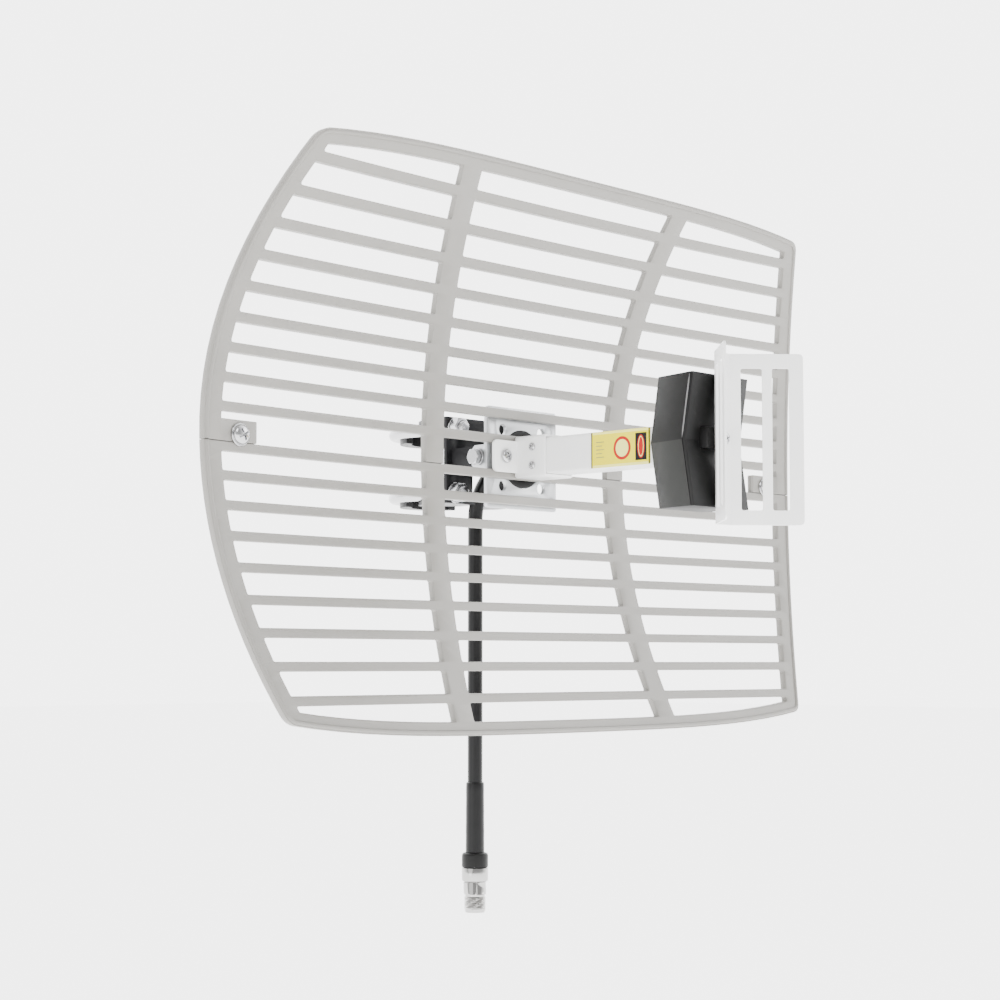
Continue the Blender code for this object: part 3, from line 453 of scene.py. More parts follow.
def refined(node, width, angle=35, segments=2):
    """The CAD node's own shape with its sharp edges rounded."""
    source = frame["nodes"][node]
    shape = bmesh.new()
    shape.from_mesh(source.data)
    bmesh.ops.remove_doubles(shape, verts=shape.verts, dist=1e-6)
    bmesh.ops.dissolve_limit(shape, angle_limit=math.radians(0.6), verts=shape.verts,
                             edges=shape.edges)
    sharp = [edge for edge in shape.edges
             if len(edge.link_faces) == 2 and edge.calc_face_angle(0) > math.radians(angle)]
    bmesh.ops.bevel(shape, geom=sharp, offset=width, segments=segments, affect="EDGES",
                    profile=0.5, clamp_overlap=True)
    return to_mesh(shape)


# ---------------------------------------------------------------- reflector
def surface_y(x, z):
    curve_z = CURVE_Z if z >= 0 else LOWER_CURVE_Z
    return VERTEX_Y - CURVE_X * x * x - curve_z * z * z


def rim_drop(x):
    share = (x / DISH_HALF_WIDTH) ** 2
    return RIM_DROP_2 * share + RIM_DROP_4 * share * share


def bar_z(number):
    return FIRST_BAR_Z + BAR_PITCH * number + BAR_PITCH_GROWTH * number * number


def outer_edge(side, start):
    """The half's edge from the seam round both corners and back, as (x, height)."""
    top = RIM_Z + RIM_WIDTH / 2
    corner_height = top
    for _ in range(20):
        corner_x = DISH_HALF_WIDTH - SIDE_RIM_BOW[side] * corner_height ** 2
        corner_height = top - rim_drop(corner_x)
    heights = [start + (corner_height - start) * k / 14 for k in range(14)]
    rise = [(DISH_HALF_WIDTH - SIDE_RIM_BOW[side] * height ** 2, height) for height in heights]
    across = [corner_x * (1 - k / 12) for k in range(25)]
    edge = rise + [(x, top - rim_drop(x)) for x in across]
    edge += [(-x, height) for x, height in reversed(rise)]
    return rounded(edge, CORNER_RADIUS, 8, 30, 0.10)


def window_columns(side):
    """The three columns of windows, each as its two side lines of x against height."""
    def line(base, bow):
        return lambda height: base + math.copysign(1.0, base) * bow * height * height

    rim, rib = -SIDE_RIM_BOW[side], RIB_BOW[side]
    return ((line(-SIDE_RIM_INNER_X, rim), line(-RIB_OUTER_X, rib)),
            (line(-RIB_INNER_X, rib), line(RIB_INNER_X, rib)),
            (line(RIB_OUTER_X, rib), line(SIDE_RIM_INNER_X, rim)))


def reflector_loops(side):
    half_bar = BAR_HEIGHT / 2
    corner = 0.0016
    loops = []
    for first, second in window_columns(side):
        for number in range(BARS_PER_HALF):
            low = bar_z(number) + half_bar
            if number < BARS_PER_HALF - 1:
                high = bar_z(number + 1) - half_bar
                loop = [(first(low), low), (second(low), low), (second(high), high),
                        (first(high), high)]
            else:
                level = RIM_Z - RIM_WIDTH / 2
                ends = []
                for line in (second, first):
                    height = level
                    for _ in range(20):
                        height = level - rim_drop(line(height))
                    ends.append(line(height))
                top = [ends[0] + (ends[1] - ends[0]) * k / 8 for k in range(9)]
                loop = [(first(low), low), (second(low), low)]
                loop += [(x, level - rim_drop(x)) for x in top]
            loops.append(rounded(loop, corner))
    if side > 0:
        seam = SEAM_Z + GAP / 2
        notch = bar_z(0) - half_bar
        edge = outer_edge(side, seam)
        base = []
        for first, second in window_columns(side):
            base += [(first(seam), seam), (first(notch), notch), (second(notch), notch),
                     (second(seam), seam)]
        loops.append(edge + rounded_notches(base))
    else:
        seam = -SEAM_Z + GAP / 2
        loops.append(outer_edge(side, seam))
    return [[(x, side * height) for x, height in loop] for loop in loops]


def rounded_notches(points):
    """The seam edge's open notches, with the inner corner of each one rounded."""
    result = []
    for k in range(0, len(points), 4):
        start, left, right, end = points[k:k + 4]
        padded = rounded([start, left, right, end], 0.0016)
        result += [start] + padded[6:18] + [end]
    return result


def cut_by_planes(shape, axis, places):
    """Add edges across the plate, so that it can follow the dish's curve."""
    normal = Vector((1, 0, 0)) if axis == 0 else Vector((0, 0, 1))
    for place in places:
        geometry = list(shape.verts) + list(shape.edges) + list(shape.faces)
        bmesh.ops.bisect_plane(shape, geom=geometry, plane_co=normal * place,
                               plane_no=normal, dist=1e-6)


def casting(side):
    """One half of the grid: a pierced plate with its seam tabs, pressed to the dish's curve."""
    depth = CAST_DEPTH / 2
    mesh = plate(reflector_loops(side), CAST_DEPTH, (0, depth, 0), "XZ", 0.0007)
    low_z = SEAM_Z + GAP / 2 if side > 0 else SEAM_Z - 0.004
    start = 0.0001 if side > 0 else depth + GAP / 2
    end = depth - GAP / 2 if side > 0 else CAST_DEPTH - 0.0001
    outer_x = SIDE_RIM_INNER_X + 0.004 if side > 0 else SIDE_RIM_INNER_X - GAP * 2
    tabs = []
    for turn in (-1, 1):
        xs = sorted((turn * TAB_INNER_X, turn * outer_x))
        tabs.append(box((xs[0], start, low_z), (xs[1], end, TAB_TOP_Z), 0.0006))
    mesh = combine(mesh, "UNION", tabs)
    holes = [turned([(0, -0.01), (0.0029, -0.01), (0.0029, 0.02), (0, 0.02)],
                    (turn * RIM_SCREW_X, 0, RIM_SCREW_Z), (0, 1, 0), 24) for turn in (-1, 1)]
    mesh = combine(mesh, "DIFFERENCE", holes)
    shape = bmesh.new()
    shape.from_mesh(mesh)
    steps = 44
    cut_by_planes(shape, 0, [DISH_HALF_WIDTH * (2 * k / steps - 1) for k in range(1, steps)])
    levels = []
    for number in range(BARS_PER_HALF):
        levels += [bar_z(number), bar_z(number) + BAR_PITCH / 2]
    levels += [RIM_Z, RIM_Z - 0.010]
    cut_by_planes(shape, 2, [side * level for level in levels])
    for vert in shape.verts:
        vert.co.y += surface_y(vert.co.x, vert.co.z)
    return to_mesh(shape)


def rim_bead(side):
    """The raised edge that runs round each half from seam to seam, inside its outline."""
    start = SEAM_Z + 0.0006 if side > 0 else -SEAM_Z + 0.0006
    points = [Vector(point) for point in outer_edge(side, start)]
    route = []
    last = len(points) - 1
    for k, point in enumerate(points):
        along = (points[min(k + 1, last)] - points[max(k - 1, 0)]).normalized()
        inner = point + Vector((-along.y, along.x)) * BEAD_INSET
        z = side * inner.y
        route.append(Vector((inner.x, surface_y(inner.x, z) + BEAD_SINK, z)))
    shape = bmesh.new()
    rings = []
    sides = 10
    radius = 0.0017
    last = len(route) - 1
    for k, point in enumerate(route):
        along = (route[min(k + 1, last)] - route[max(k - 1, 0)]).normalized()
        outward = along.cross(Vector((0, 1, 0))).normalized()
        front = along.cross(outward)
        rings.append([shape.verts.new(point + outward * (radius * math.cos(a))
                                      + front * (radius * math.sin(a)))
                      for a in (math.tau * s / sides for s in range(sides))])
    for near, far in zip(rings, rings[1:]):
        for k in range(sides):
            after = (k + 1) % sides
            shape.faces.new((near[k], near[after], far[after], far[k]))
    shape.faces.new(rings[0])
    shape.faces.new(rings[-1])
    return to_mesh(shape)


def make_reflector():
    for side, word in ((1, "upper"), (-1, "lower")):
        node = "reflector_" + word
        piece(node + "_casting", casting(side), "grid_paint", [node])
        piece(node + "_bead", rim_bead(side), "grid_paint", [node], 60)


# ---------------------------------------------------------------- fasteners
def pan_head(name, place, axis, head_radius, head_height, shank_radius, shank_length,
             washer_radius=0.0):
    """A domed screw head with a cross recess, on a shank and, if asked, a washer."""
    profile = [(0.0, head_height)]
    for step in range(1, 9):
        angle = math.radians(90 - 9 * step)
        profile.append((head_radius * math.cos(angle),
                        head_height * (0.35 + 0.65 * math.sin(angle))))
    profile.append((head_radius, head_height * 0.30))
    if washer_radius:
        profile += [(head_radius, 0.0010), (washer_radius - 0.0003, 0.0010),
                    (washer_radius, 0.0007), (washer_radius, 0.0)]
    else:
        profile.append((head_radius, 0.0))
    profile += [(shank_radius, 0.0), (shank_radius, -shank_length), (0.0, -shank_length)]
    head = turned(profile, (0, 0, 0), (0, 0, 1), 40)
    reach, wide = head_radius * 0.62, head_radius * 0.11
    depth = head_height * 0.45
    top = head_height + 0.001
    arms = [box((-reach, -wide, depth), (reach, wide, top)),
            box((-wide, -reach, depth), (wide, reach, top))]
    head = combine(head, "DIFFERENCE", arms)
    turn = Vector(axis).to_track_quat("Z", "Y").to_matrix().to_4x4()
    spin = Matrix.Rotation(math.radians(SCREW_TURN), 4, "Z")
    head.transform(Matrix.Translation(place) @ turn @ spin)
    piece(name + "_head", head, SLOT_OF[name], [name], 30)


def hexagon(start, end, across_flats, bore, shank=None):
    """A hexagon with chamfered corners: a nut round a bore, or a bolt head on a shank."""
    start, end = Vector(start), Vector(end)
    height = (end - start).length
    turn = (end - start).to_track_quat("Z", "Y").to_matrix()
    flat = across_flats / 2
    face = flat * 0.96
    sides = 48
    shape = bmesh.new()

    def ring(reach_of, level_of):
        verts = []
        for k in range(sides):
            angle = math.tau * k / sides
            corner = flat / math.cos((angle % math.radians(60)) - math.radians(30))
            reach = reach_of(corner)
            local = Vector((reach * math.cos(angle), reach * math.sin(angle),
                            level_of(corner)))
            verts.append(shape.verts.new(start + turn @ local))
        return verts

    slope = math.tan(math.radians(30))
    rings = [ring(lambda c: face, lambda c: 0.0),
             ring(lambda c: c, lambda c: (c - face) * slope),
             ring(lambda c: c, lambda c: height - (c - face) * slope),
             ring(lambda c: face, lambda c: height)]
    if shank is None:
        chamfer = 0.0003
        rings += [ring(lambda c: bore + chamfer, lambda c: height),
                  ring(lambda c: bore, lambda c: height - chamfer),
                  ring(lambda c: bore, lambda c: chamfer),
                  ring(lambda c: bore + chamfer, lambda c: 0.0)]
        rings.append(rings[0])
    else:
        radius, length = shank
        rings.insert(0, ring(lambda c: radius, lambda c: 0.0))
        rings.insert(0, ring(lambda c: radius, lambda c: 0.0005 - length))
        rings.insert(0, ring(lambda c: radius - 0.0004, lambda c: -length))
    for near, far in zip(rings, rings[1:]):
        for k in range(sides):
            after = (k + 1) % sides
            shape.faces.new((near[k], near[after], far[after], far[k]))
    if shank is not None:
        shape.faces.new(rings[0])
        shape.faces.new(rings[-1])
    return to_mesh(shape)


def washer(name, place, axis, outer, inner, thickness):
    edge = 0.00015
    profile = [(outer - edge, thickness), (outer, thickness - edge), (outer, edge),
               (outer - edge, 0.0), (inner, 0.0), (inner, thickness)]
    piece(name + "_ring", turned(profile, place, axis, 48), SLOT_OF[name], [name])


def make_rim_fasteners():
    for side, word in ((-1, "left"), (1, "right")):
        x = side * RIM_SCREW_X
        front = surface_y(x, RIM_SCREW_Z)
        slope = Vector((2 * CURVE_X * x, 1.0, 0.0)).normalized()
        place = Vector((x, front, RIM_SCREW_Z))
        pan_head("rim_screw_" + word, place - slope * GAP, -slope, 0.0064, 0.0042, 0.0025,
                 0.0110, 0.0074)
        start = place + slope * (CAST_DEPTH + GAP)
        piece("rim_nut_%s_hexagon" % word, hexagon(start, start + slope * 0.0040, 0.0080,
                                                   0.0028), "bright_steel",
              ["rim_nut_" + word], 25)


# ---------------------------------------------------------------- hub
def make_hub():
    piece("hub_plate_sheet", refined("hub_plate", 0.00035), "zinc_plate", ["hub_plate"])
    outer = PLATE_BORE_RADIUS - GAP
    back = CABLE_EXIT_Y - GAP
    depth = back - PLATE_FRONT_Y
    floor = 0.0016
    profile = [(0.0, floor), (0.0115, floor), (0.0122, floor + 0.0002)]
    profile += [(0.0122 + 0.0066 * k / 6, floor + 0.0002 + (depth - floor - 0.0004)
                 * math.sin(math.radians(15 * k))) for k in range(1, 7)]
    profile += [(outer - 0.0008, depth), (outer - 0.0002, depth - 0.0002),
                (outer, depth - 0.0006), (outer, 0.0004), (outer - 0.0004, 0.0), (0.0, 0.0)]
    piece("cable_gland_bush", turned(profile, (0, back, 0), (0, -1, 0), 64),
          "black_plastic", ["cable_gland"])


# ---------------------------------------------------------------- feed
def square(half, radius):
    return rounded([(-half, -half), (half, -half), (half, half), (-half, half)], radius)


def make_socket():
    half_span, half_height = FLANGE_SPAN / 2, FLANGE_HEIGHT / 2
    outline = rounded([(-half_span, -half_height), (half_span, -half_height),
                       (half_span, half_height), (-half_span, half_height)], 0.004)
    loops = [outline] + [circle(side * SOCKET_SCREW_X, 0, 0.0028) for side in (-1, 1)]
    flange = plate(loops, SOCKET_SHEET, (0, SOCKET_BACK_Y - SOCKET_SHEET / 2, 0), "XZ",
                   0.0004)
    half = SOCKET_OUTER / 2
    front = SOCKET_BACK_Y - SOCKET_LENGTH
    sleeve = plate([square(half, 0.0025)], SOCKET_LENGTH - 0.0001,
                   (0, (front + SOCKET_BACK_Y - 0.0001) / 2, 0), "XZ", 0.0004)
    inner = ARM_SIZE / 2 + GAP
    bore = box((-inner, front - 0.01, -inner), (inner, SOCKET_BACK_Y + 0.01, inner))
    holes = [turned([(0, 0), (0.0019, 0), (0.0019, 0.03), (0, 0.03)],
                    (-0.03, ARM_SCREW_Y, side * ARM_SCREW_Z), (1, 0, 0), 20)
             for side in (-1, 1)]
    socket = combine(combine(flange, "UNION", [sleeve]), "DIFFERENCE", [bore] + holes)
    piece("feed_socket_casting", socket, "white_paint", ["feed_socket"])
    for side, word in ((-1, "left"), (1, "right")):
        place = (side * SOCKET_SCREW_X, SOCKET_BACK_Y - SOCKET_SHEET - GAP, 0)
        pan_head("socket_screw_" + word, place, (0, -1, 0), 0.0048, 0.0032, 0.0025, 0.0110)


def make_arm():
    half = ARM_SIZE / 2
    length = SOCKET_BACK_Y - ARM_FRONT_Y
    middle = (ARM_FRONT_Y + SOCKET_BACK_Y) / 2
    arm = plate([square(half, 0.0020), square(half - ARM_WALL, 0.0010)], length,
                (0, middle, 0), "XZ", 0.0003)
    holes = [turned([(0, 0), (0.0019, 0), (0.0019, 0.03), (0, 0.03)],
                    (-0.03, ARM_SCREW_Y, side * ARM_SCREW_Z), (1, 0, 0), 20)
             for side in (-1, 1)]
    piece("feed_arm_tube", combine(arm, "DIFFERENCE", holes), "white_paint", ["feed_arm"])
    for side, word in ((1, "upper"), (-1, "lower")):
        place = (-SOCKET_OUTER / 2 - GAP, ARM_SCREW_Y, side * ARM_SCREW_Z)
        pan_head("arm_screw_" + word, place, (-1, 0, 0), 0.0028, 0.0016, 0.0016, 0.0055)


def make_label():
    """A printed film: pale border, end bands, one block with an oval, a ring, and lines."""
    back = -ARM_SIZE / 2 - GAP
    front = back - LABEL_THICKNESS + 0.0002
    ink = 0.00004
    rear_y, front_y = LABEL_Y[1], LABEL_Y[0]
    half = LABEL_HEIGHT / 2
    parts = []

    def print_on(loop, colour, layer):
        level = front - ink * (layer - 0.5)
        parts.append((plate([loop], ink, (level, 0, 0), "YZ"), colour))

    def block(y0, y1, z0, z1):
        return [(y0, z0), (y1, z0), (y1, z1), (y0, z1)]

    def oval(y, z, half_y, half_z):
        return [(y + half_y * c, z + half_z * s)
                for c, s in ((math.cos(a), math.sin(a))
                             for a in (math.tau * k / 40 for k in range(40)))]

    film = plate([rounded(block(front_y, rear_y, -half, half), 0.0006)], back - front,
                 ((back + front) / 2, 0, 0), "YZ")
    print_on(block(rear_y - 0.0012, rear_y - 0.0002, -half, half), "black", 1)
    print_on(block(front_y + 0.0002, front_y + 0.0012, -half, half), "black", 1)
    for side in (-1, 1):
        edge = side * (half - 0.0010)
        print_on(block(front_y + 0.0014, rear_y - 0.0014, edge - 0.0008, edge + 0.0008),
                 "pale", 1)
    print_on(block(front_y + 0.0030, front_y + 0.0128, -0.0092, 0.0092), "black", 1)
    print_on(oval(front_y + 0.0079, 0.0, 0.0032, 0.0080), "red", 2)
    print_on(oval(front_y + 0.0079, 0.0, 0.0024, 0.0070), "pale", 3)
    print_on(oval(front_y + 0.0079, 0.0, 0.0019, 0.0063), "red", 4)
    print_on(oval(front_y + 0.0245, 0.0, 0.0076, 0.0080), "red", 1)
    print_on(oval(front_y + 0.0245, 0.0, 0.0056, 0.0060), "pale", 2)
    for row in range(5):
        z = 0.0052 - 0.0026 * row
        length = 0.0055 if row % 2 else 0.0072
        print_on(block(rear_y - 0.0045 - length, rear_y - 0.0045, z - 0.0003, z + 0.0003),
                 "grey", 1)
    shape = bmesh.new()
    shape.from_mesh(film)
    order = list(INKS)
    for mesh, colour in parts:
        before = len(shape.faces)
        shape.from_mesh(mesh)
        shape.faces.ensure_lookup_table()
        for face in shape.faces[before:]:
            face.material_index = 1 + order.index(colour)
    label = to_mesh(shape)
    label.materials.append(MATERIALS["label_film"])
    for colour in order:
        label.materials.append(INKS[colour])
    piece("arm_label_print", label, None, ["arm_label"])


def housing_ring(y, half_width, inset=0.0):
    half_width, half_height = half_width - inset, HOUSING_HALF_HEIGHT - inset
    corners = ((-1, -1), (-1, 0), (-1, 1), (1, 1), (1, 0), (1, -1))
    lean = HOUSING_LEAN * half_height / HOUSING_HALF_HEIGHT
    return [(x * half_width, y - lean * abs(z), z * half_height) for x, z in corners]


def housing_loft(sections, edge):
    shape = bmesh.new()
    rings = [[shape.verts.new(place) for place in section] for section in sections]
    for near, far in zip(rings, rings[1:]):
        for k in range(6):
            following = (k + 1) % 6
            shape.faces.new((near[k], near[following], far[following], far[k]))
    for ring in (rings[0], rings[-1]):
        shape.faces.new((ring[0], ring[1], ring[4], ring[5]))
        shape.faces.new((ring[1], ring[2], ring[3], ring[4]))
    bmesh.ops.recalc_face_normals(shape, faces=shape.faces)
    sharp = [line for line in shape.edges if line.calc_face_angle(0) > math.radians(12)]
    bmesh.ops.bevel(shape, geom=sharp, offset=edge, segments=2, affect="EDGES",
                    profile=0.5, clamp_overlap=True)
    return to_mesh(shape)


def make_housing():
    rim_y = HOUSING_RIDGE_Y + GAP / 2
    rear = housing_loft([
        housing_ring(HOUSING_REAR_Y, HOUSING_REAR_HALF_WIDTH),
        housing_ring(rim_y, HOUSING_RIDGE_HALF_WIDTH),
        housing_ring(rim_y, HOUSING_RIDGE_HALF_WIDTH, HOUSING_WALL),
        housing_ring(HOUSING_REAR_Y - HOUSING_WALL, HOUSING_REAR_HALF_WIDTH, HOUSING_WALL),
    ], 0.0005)
    inner = ARM_SIZE / 2 + GAP
    cut = box((-inner, HOUSING_REAR_Y - 0.02, -inner), (inner, HOUSING_REAR_Y + 0.02, inner))
    rear = combine(rear, "DIFFERENCE", [cut])
    # The lower facet of each side panel gets a paler, slightly smoother copy of the black plastic.
    rear.materials.clear()
    rear.materials.append(MATERIALS["black_plastic"])
    rear.materials.append(LOWER_FACET_PLASTIC)
    for face in rear.polygons:
        if abs(face.normal.x) > 0.5 and face.center.z < -0.0008:
            face.material_index = 1
    piece("housing_rear_shell", rear, None, ["housing_rear"])
    cover_y = HOUSING_RIDGE_Y - GAP / 2
    cover = housing_loft([
        housing_ring(cover_y, HOUSING_RIDGE_HALF_WIDTH),
        housing_ring(HOUSING_FRONT_Y, HOUSING_FRONT_HALF_WIDTH),
    ], 0.0004)
    boss = box((-0.0150, SUB_WEB_Y + GAP, SUB_CENTRE_Z - 0.0070),
               (0.0150, HOUSING_FRONT_Y + 0.0010, SUB_CENTRE_Z + 0.0070), 0.0006)
    cover = combine(cover, "UNION", [boss])
    bore = turned([(0, 0), (0.0023, 0), (0.0023, 0.03), (0, 0.03)],
                  (0, SUB_WEB_Y - 0.005, SUB_CENTRE_Z), (0, 1, 0), 24)
    cover = combine(cover, "DIFFERENCE", [bore])
    piece("housing_front_cover", cover, "black_plastic",
          ["housing_front", "subreflector_spacer"])
    # Each side of the ridge gets a thin light grey strip, a painted highlight where the edge catches
    # the light.
    for side, word in ((-1, "left"), (1, "right")):
        x = side * (HOUSING_RIDGE_HALF_WIDTH + 0.00005)
        low = Vector((x, HOUSING_RIDGE_Y, 0.0010))
        top = Vector((x, HOUSING_RIDGE_Y - HOUSING_LEAN * 0.97, HOUSING_HALF_HEIGHT * 0.97))
        strip = swept([low + (top - low) * k / 8 for k in range(9)], 0.00050,
                      Vector((0, top.z - low.z, low.y - top.y)).normalized(), 12)
        strip.materials.append(SEAM_HIGHLIGHT)
        piece("housing_seam_highlight_" + word, strip, None, ["housing_rear"])


def make_subreflector():
    """A sheet cut flat with rounded corners and windows, then folded along two lines."""
    half_arc = SUB_BEND_RADIUS * math.tan(math.radians(22.5))
    arc_length = SUB_BEND_RADIUS * math.radians(45)
    start = SUB_WEB_HALF_WIDTH - half_arc
    shift = arc_length - 2 * half_arc
    reach = SUB_WEB_HALF_WIDTH + SUB_WING_LENGTH + shift
    low, high = -SUB_HALF_HEIGHT, SUB_HALF_HEIGHT
    loops = [rounded([(-reach, low), (reach, low), (reach, high), (-reach, high)], 0.0035)]
    for near, far in SUB_WINDOWS:
        for side in (-1, 1):
            xs = sorted(side * (SUB_WEB_HALF_WIDTH + shift + s) for s in (near, far))
            level = SUB_WINDOW_HALF_HEIGHT
            loops.append(rounded([(xs[0], -level), (xs[1], -level), (xs[1], level),
                                  (xs[0], level)], 0.0015))
    loops.append(circle(0, 0, 0.0023))
    mesh = plate(loops, SUB_SHEET, (0, 0, 0), "XZ", 0.0003)
    shape = bmesh.new()
    shape.from_mesh(mesh)
    folds = [start + arc_length * k / 6 for k in range(7)]
    cut_by_planes(shape, 0, [side * fold for side in (-1, 1) for fold in folds])
    for vert in shape.verts:
        along = abs(vert.co.x)
        turn = min(max(along - start, 0.0), arc_length) / SUB_BEND_RADIUS
        x = min(along, start) + SUB_BEND_RADIUS * math.sin(turn)
        y = -SUB_BEND_RADIUS * (1 - math.cos(turn))
        beyond = max(along - start - arc_length, 0.0)
        x += beyond * math.cos(turn)
        y -= beyond * math.sin(turn)
        lift = SUB_SHEET / 2 - vert.co.y
        x -= lift * math.sin(turn)
        y -= lift * math.cos(turn)
        vert.co = Vector((math.copysign(x, vert.co.x), SUB_WEB_Y + y,
                          vert.co.z + SUB_CENTRE_Z))
    piece("subreflector_sheet", to_mesh(shape), "white_paint", ["subreflector"], 20)
    pan_head("subreflector_screw", (0, SUB_WEB_Y - SUB_SHEET - GAP, SUB_CENTRE_Z),
             (0, -1, 0), 0.0042, 0.0028, 0.0020, 0.0115)


# ---------------------------------------------------------------- mast clamp
def make_bracket():
    piece("mast_bracket_sheet", refined("mast_bracket", 0.0004), "dark_steel",
          ["mast_bracket"])
    outer = PLATE_HALF + GAP
    inner = BRACKET_EAR_INNER_X - GAP
    for side, word in ((-1, "left"), (1, "right")):
        washer("pivot_washer_" + word, (side * outer, PIVOT_Y, 0), (side, 0, 0), 0.0060,
               PIVOT_HOLE_RADIUS, 0.0012)
        start = outer + 0.0012 + GAP
        length = start - inner + 0.0062
        bolt = hexagon((side * start, PIVOT_Y, 0), (side * (start + 0.004), PIVOT_Y, 0),
                       0.0100, 0.0, (0.0030, length))
        piece("pivot_bolt_%s_hexagon" % word, bolt, "bright_steel", ["pivot_bolt_" + word],
              25)
        nut = hexagon((side * inner, PIVOT_Y, 0), (side * (inner - 0.005), PIVOT_Y, 0),
                      0.0098, PIVOT_HOLE_RADIUS)
        piece("pivot_nut_%s_hexagon" % word, nut, "bright_steel", ["pivot_nut_" + word], 25)


def thread(place_along, angle, pitch, depth):
    """How far a thread's groove goes in at a place along it and round it."""
    phase = (place_along / pitch - angle / math.tau) % 1.0
    return depth * (1 - abs(2 * phase - 1))


def make_clamp(word, level):
    thread_end = WEB_FRONT_Y + 0.010

    def leg_points(x):
        straight = [(x, UBOLT_BEND_Y - 0.010), (x, thread_end)]
        count = int((thread_end - UBOLT_TIP_Y) / UBOLT_PITCH * 6)
        return straight + [(x, thread_end + (UBOLT_TIP_Y - thread_end) * k / count)
                           for k in range(1, count + 1)]

    route = list(reversed(leg_points(-UBOLT_LEG_X)))
    route += arc(0, UBOLT_BEND_Y, UBOLT_LEG_X, 180, 0, 36)
    route += leg_points(UBOLT_LEG_X)

    def groove(point, travelled, angle):
        if point.y > thread_end - 0.0005:
            return 0.0
        return thread(travelled, angle, UBOLT_PITCH, UBOLT_GROOVE)

    rod = swept([(x, y, level) for x, y in route], UBOLT_ROD_RADIUS, (0, 0, 1), 24, groove)
    piece(word + "_ubolt_rod", rod, "bright_steel", [word + "_ubolt"], 40)
    outer = UBOLT_LEG_X - UBOLT_ROD_RADIUS - GAP
    inner = MAST_RADIUS + GAP
    saddle = arc(0, UBOLT_BEND_Y, outer, 8, 172, 36)
    teeth = 22
    for k in range(teeth * 2 + 1):
        angle = math.radians(150 - 120 * k / (teeth * 2))
        reach = inner + (0.0010 if k % 2 else 0.0)
        saddle.append((reach * math.cos(angle), reach * math.sin(angle)))
    mesh = plate([saddle], SADDLE_HEIGHT, (0, 0, level), "XY", 0.0003)
    piece(word + "_saddle_jaw", mesh, "dark_steel", [word + "_saddle"])
    for side, end in ((-1, "left"), (1, "right")):
        x = side * UBOLT_LEG_X
        washer("%s_clamp_washer_%s" % (word, end), (x, WEB_FRONT_Y - GAP, level), (0, -1, 0),
               0.0074, UBOLT_ROD_RADIUS + GAP, 0.0014)
        start = WEB_FRONT_Y - 2 * GAP - 0.0014
        nut = hexagon((x, start, level), (x, start - 0.006, level), 0.0128,
                      UBOLT_ROD_RADIUS + GAP)
        name = "%s_clamp_nut_%s" % (word, end)
        piece(name + "_hexagon", nut, "bright_steel", [name], 25)


# ---------------------------------------------------------------- cable and connector
def cable_route(turn_steps, drop_steps):
    """Out of the gland level, a quarter turn down, and straight down beside the mast."""
    start = CABLE_EXIT_Y + CABLE_STRAIGHT
    radius = CABLE_DROP_Y - start
    route = [(0.0, CABLE_EXIT_Y, 0.0)]
    for k in range(turn_steps + 1):
        angle = math.radians(90 * k / turn_steps)
        route.append((0.0, start + radius * math.sin(angle),
                      radius * (math.cos(angle) - 1.0)))
    drop = COLLAR_TOP_Z + GAP + radius
    route += [(0.0, CABLE_DROP_Y, -radius + drop * k / drop_steps)
              for k in range(1, drop_steps + 1)]
    return route


def route_length(route):
    points = [Vector(point) for point in route]
    return sum((after - before).length for before, after in zip(points, points[1:]))


def make_cable():
    route = cable_route(30, 40)
    tube = swept(route, CABLE_RADIUS, (1, 0, 0), 32)
    down = (0.0, 0.0, 1.0)
    inner = CABLE_RADIUS + GAP
    sleeve_bottom = COLLAR_TOP_Z + GAP
    height = SLEEVE_TOP_Z - sleeve_bottom
    profile = [(inner, height), (inner + 0.0003, height), (0.00645, height - 0.0004),
               (0.00655, height - 0.0012)]
    profile += [(0.00655 + 0.00025 * k / 10 + 0.00004 * math.sin(k * 2.1),
                 (height - 0.0012) * (1 - k / 10)) for k in range(1, 10)]
    profile += [(0.0068, 0.0), (inner, 0.0)]
    sleeve = piece("cable_sleeve_shrink",
                   turned(profile, (0, CABLE_DROP_Y, sleeve_bottom), down, 48),
                   "cable_jacket", ["cable_sleeve"], 40)
    height = COLLAR_TOP_Z - CONNECTOR_TOP_Z - GAP
    shoulder = 0.0022
    profile = [(0.0, height)]
    profile += [(CONNECTOR_RADIUS - shoulder + shoulder * math.sin(math.radians(a)),
                 height - shoulder + shoulder * math.cos(math.radians(a)))
                for a in range(0, 91, 15)]
    profile += [(CONNECTOR_RADIUS, 0.0003), (CONNECTOR_RADIUS - 0.0003, 0.0), (0.0, 0.0)]
    collar = piece("cable_collar_boot",
                   turned(profile, (0, CABLE_DROP_Y, CONNECTOR_TOP_Z + GAP), down, 64),
                   "black_plastic", ["cable_collar"], 40)
    jack = make_connector()
    cable = piece("coax_cable_tube", tube, "cable_jacket", ["coax_cable"], 60, rides=False)
    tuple(route[0])
    route_length(route)
    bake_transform(cable)


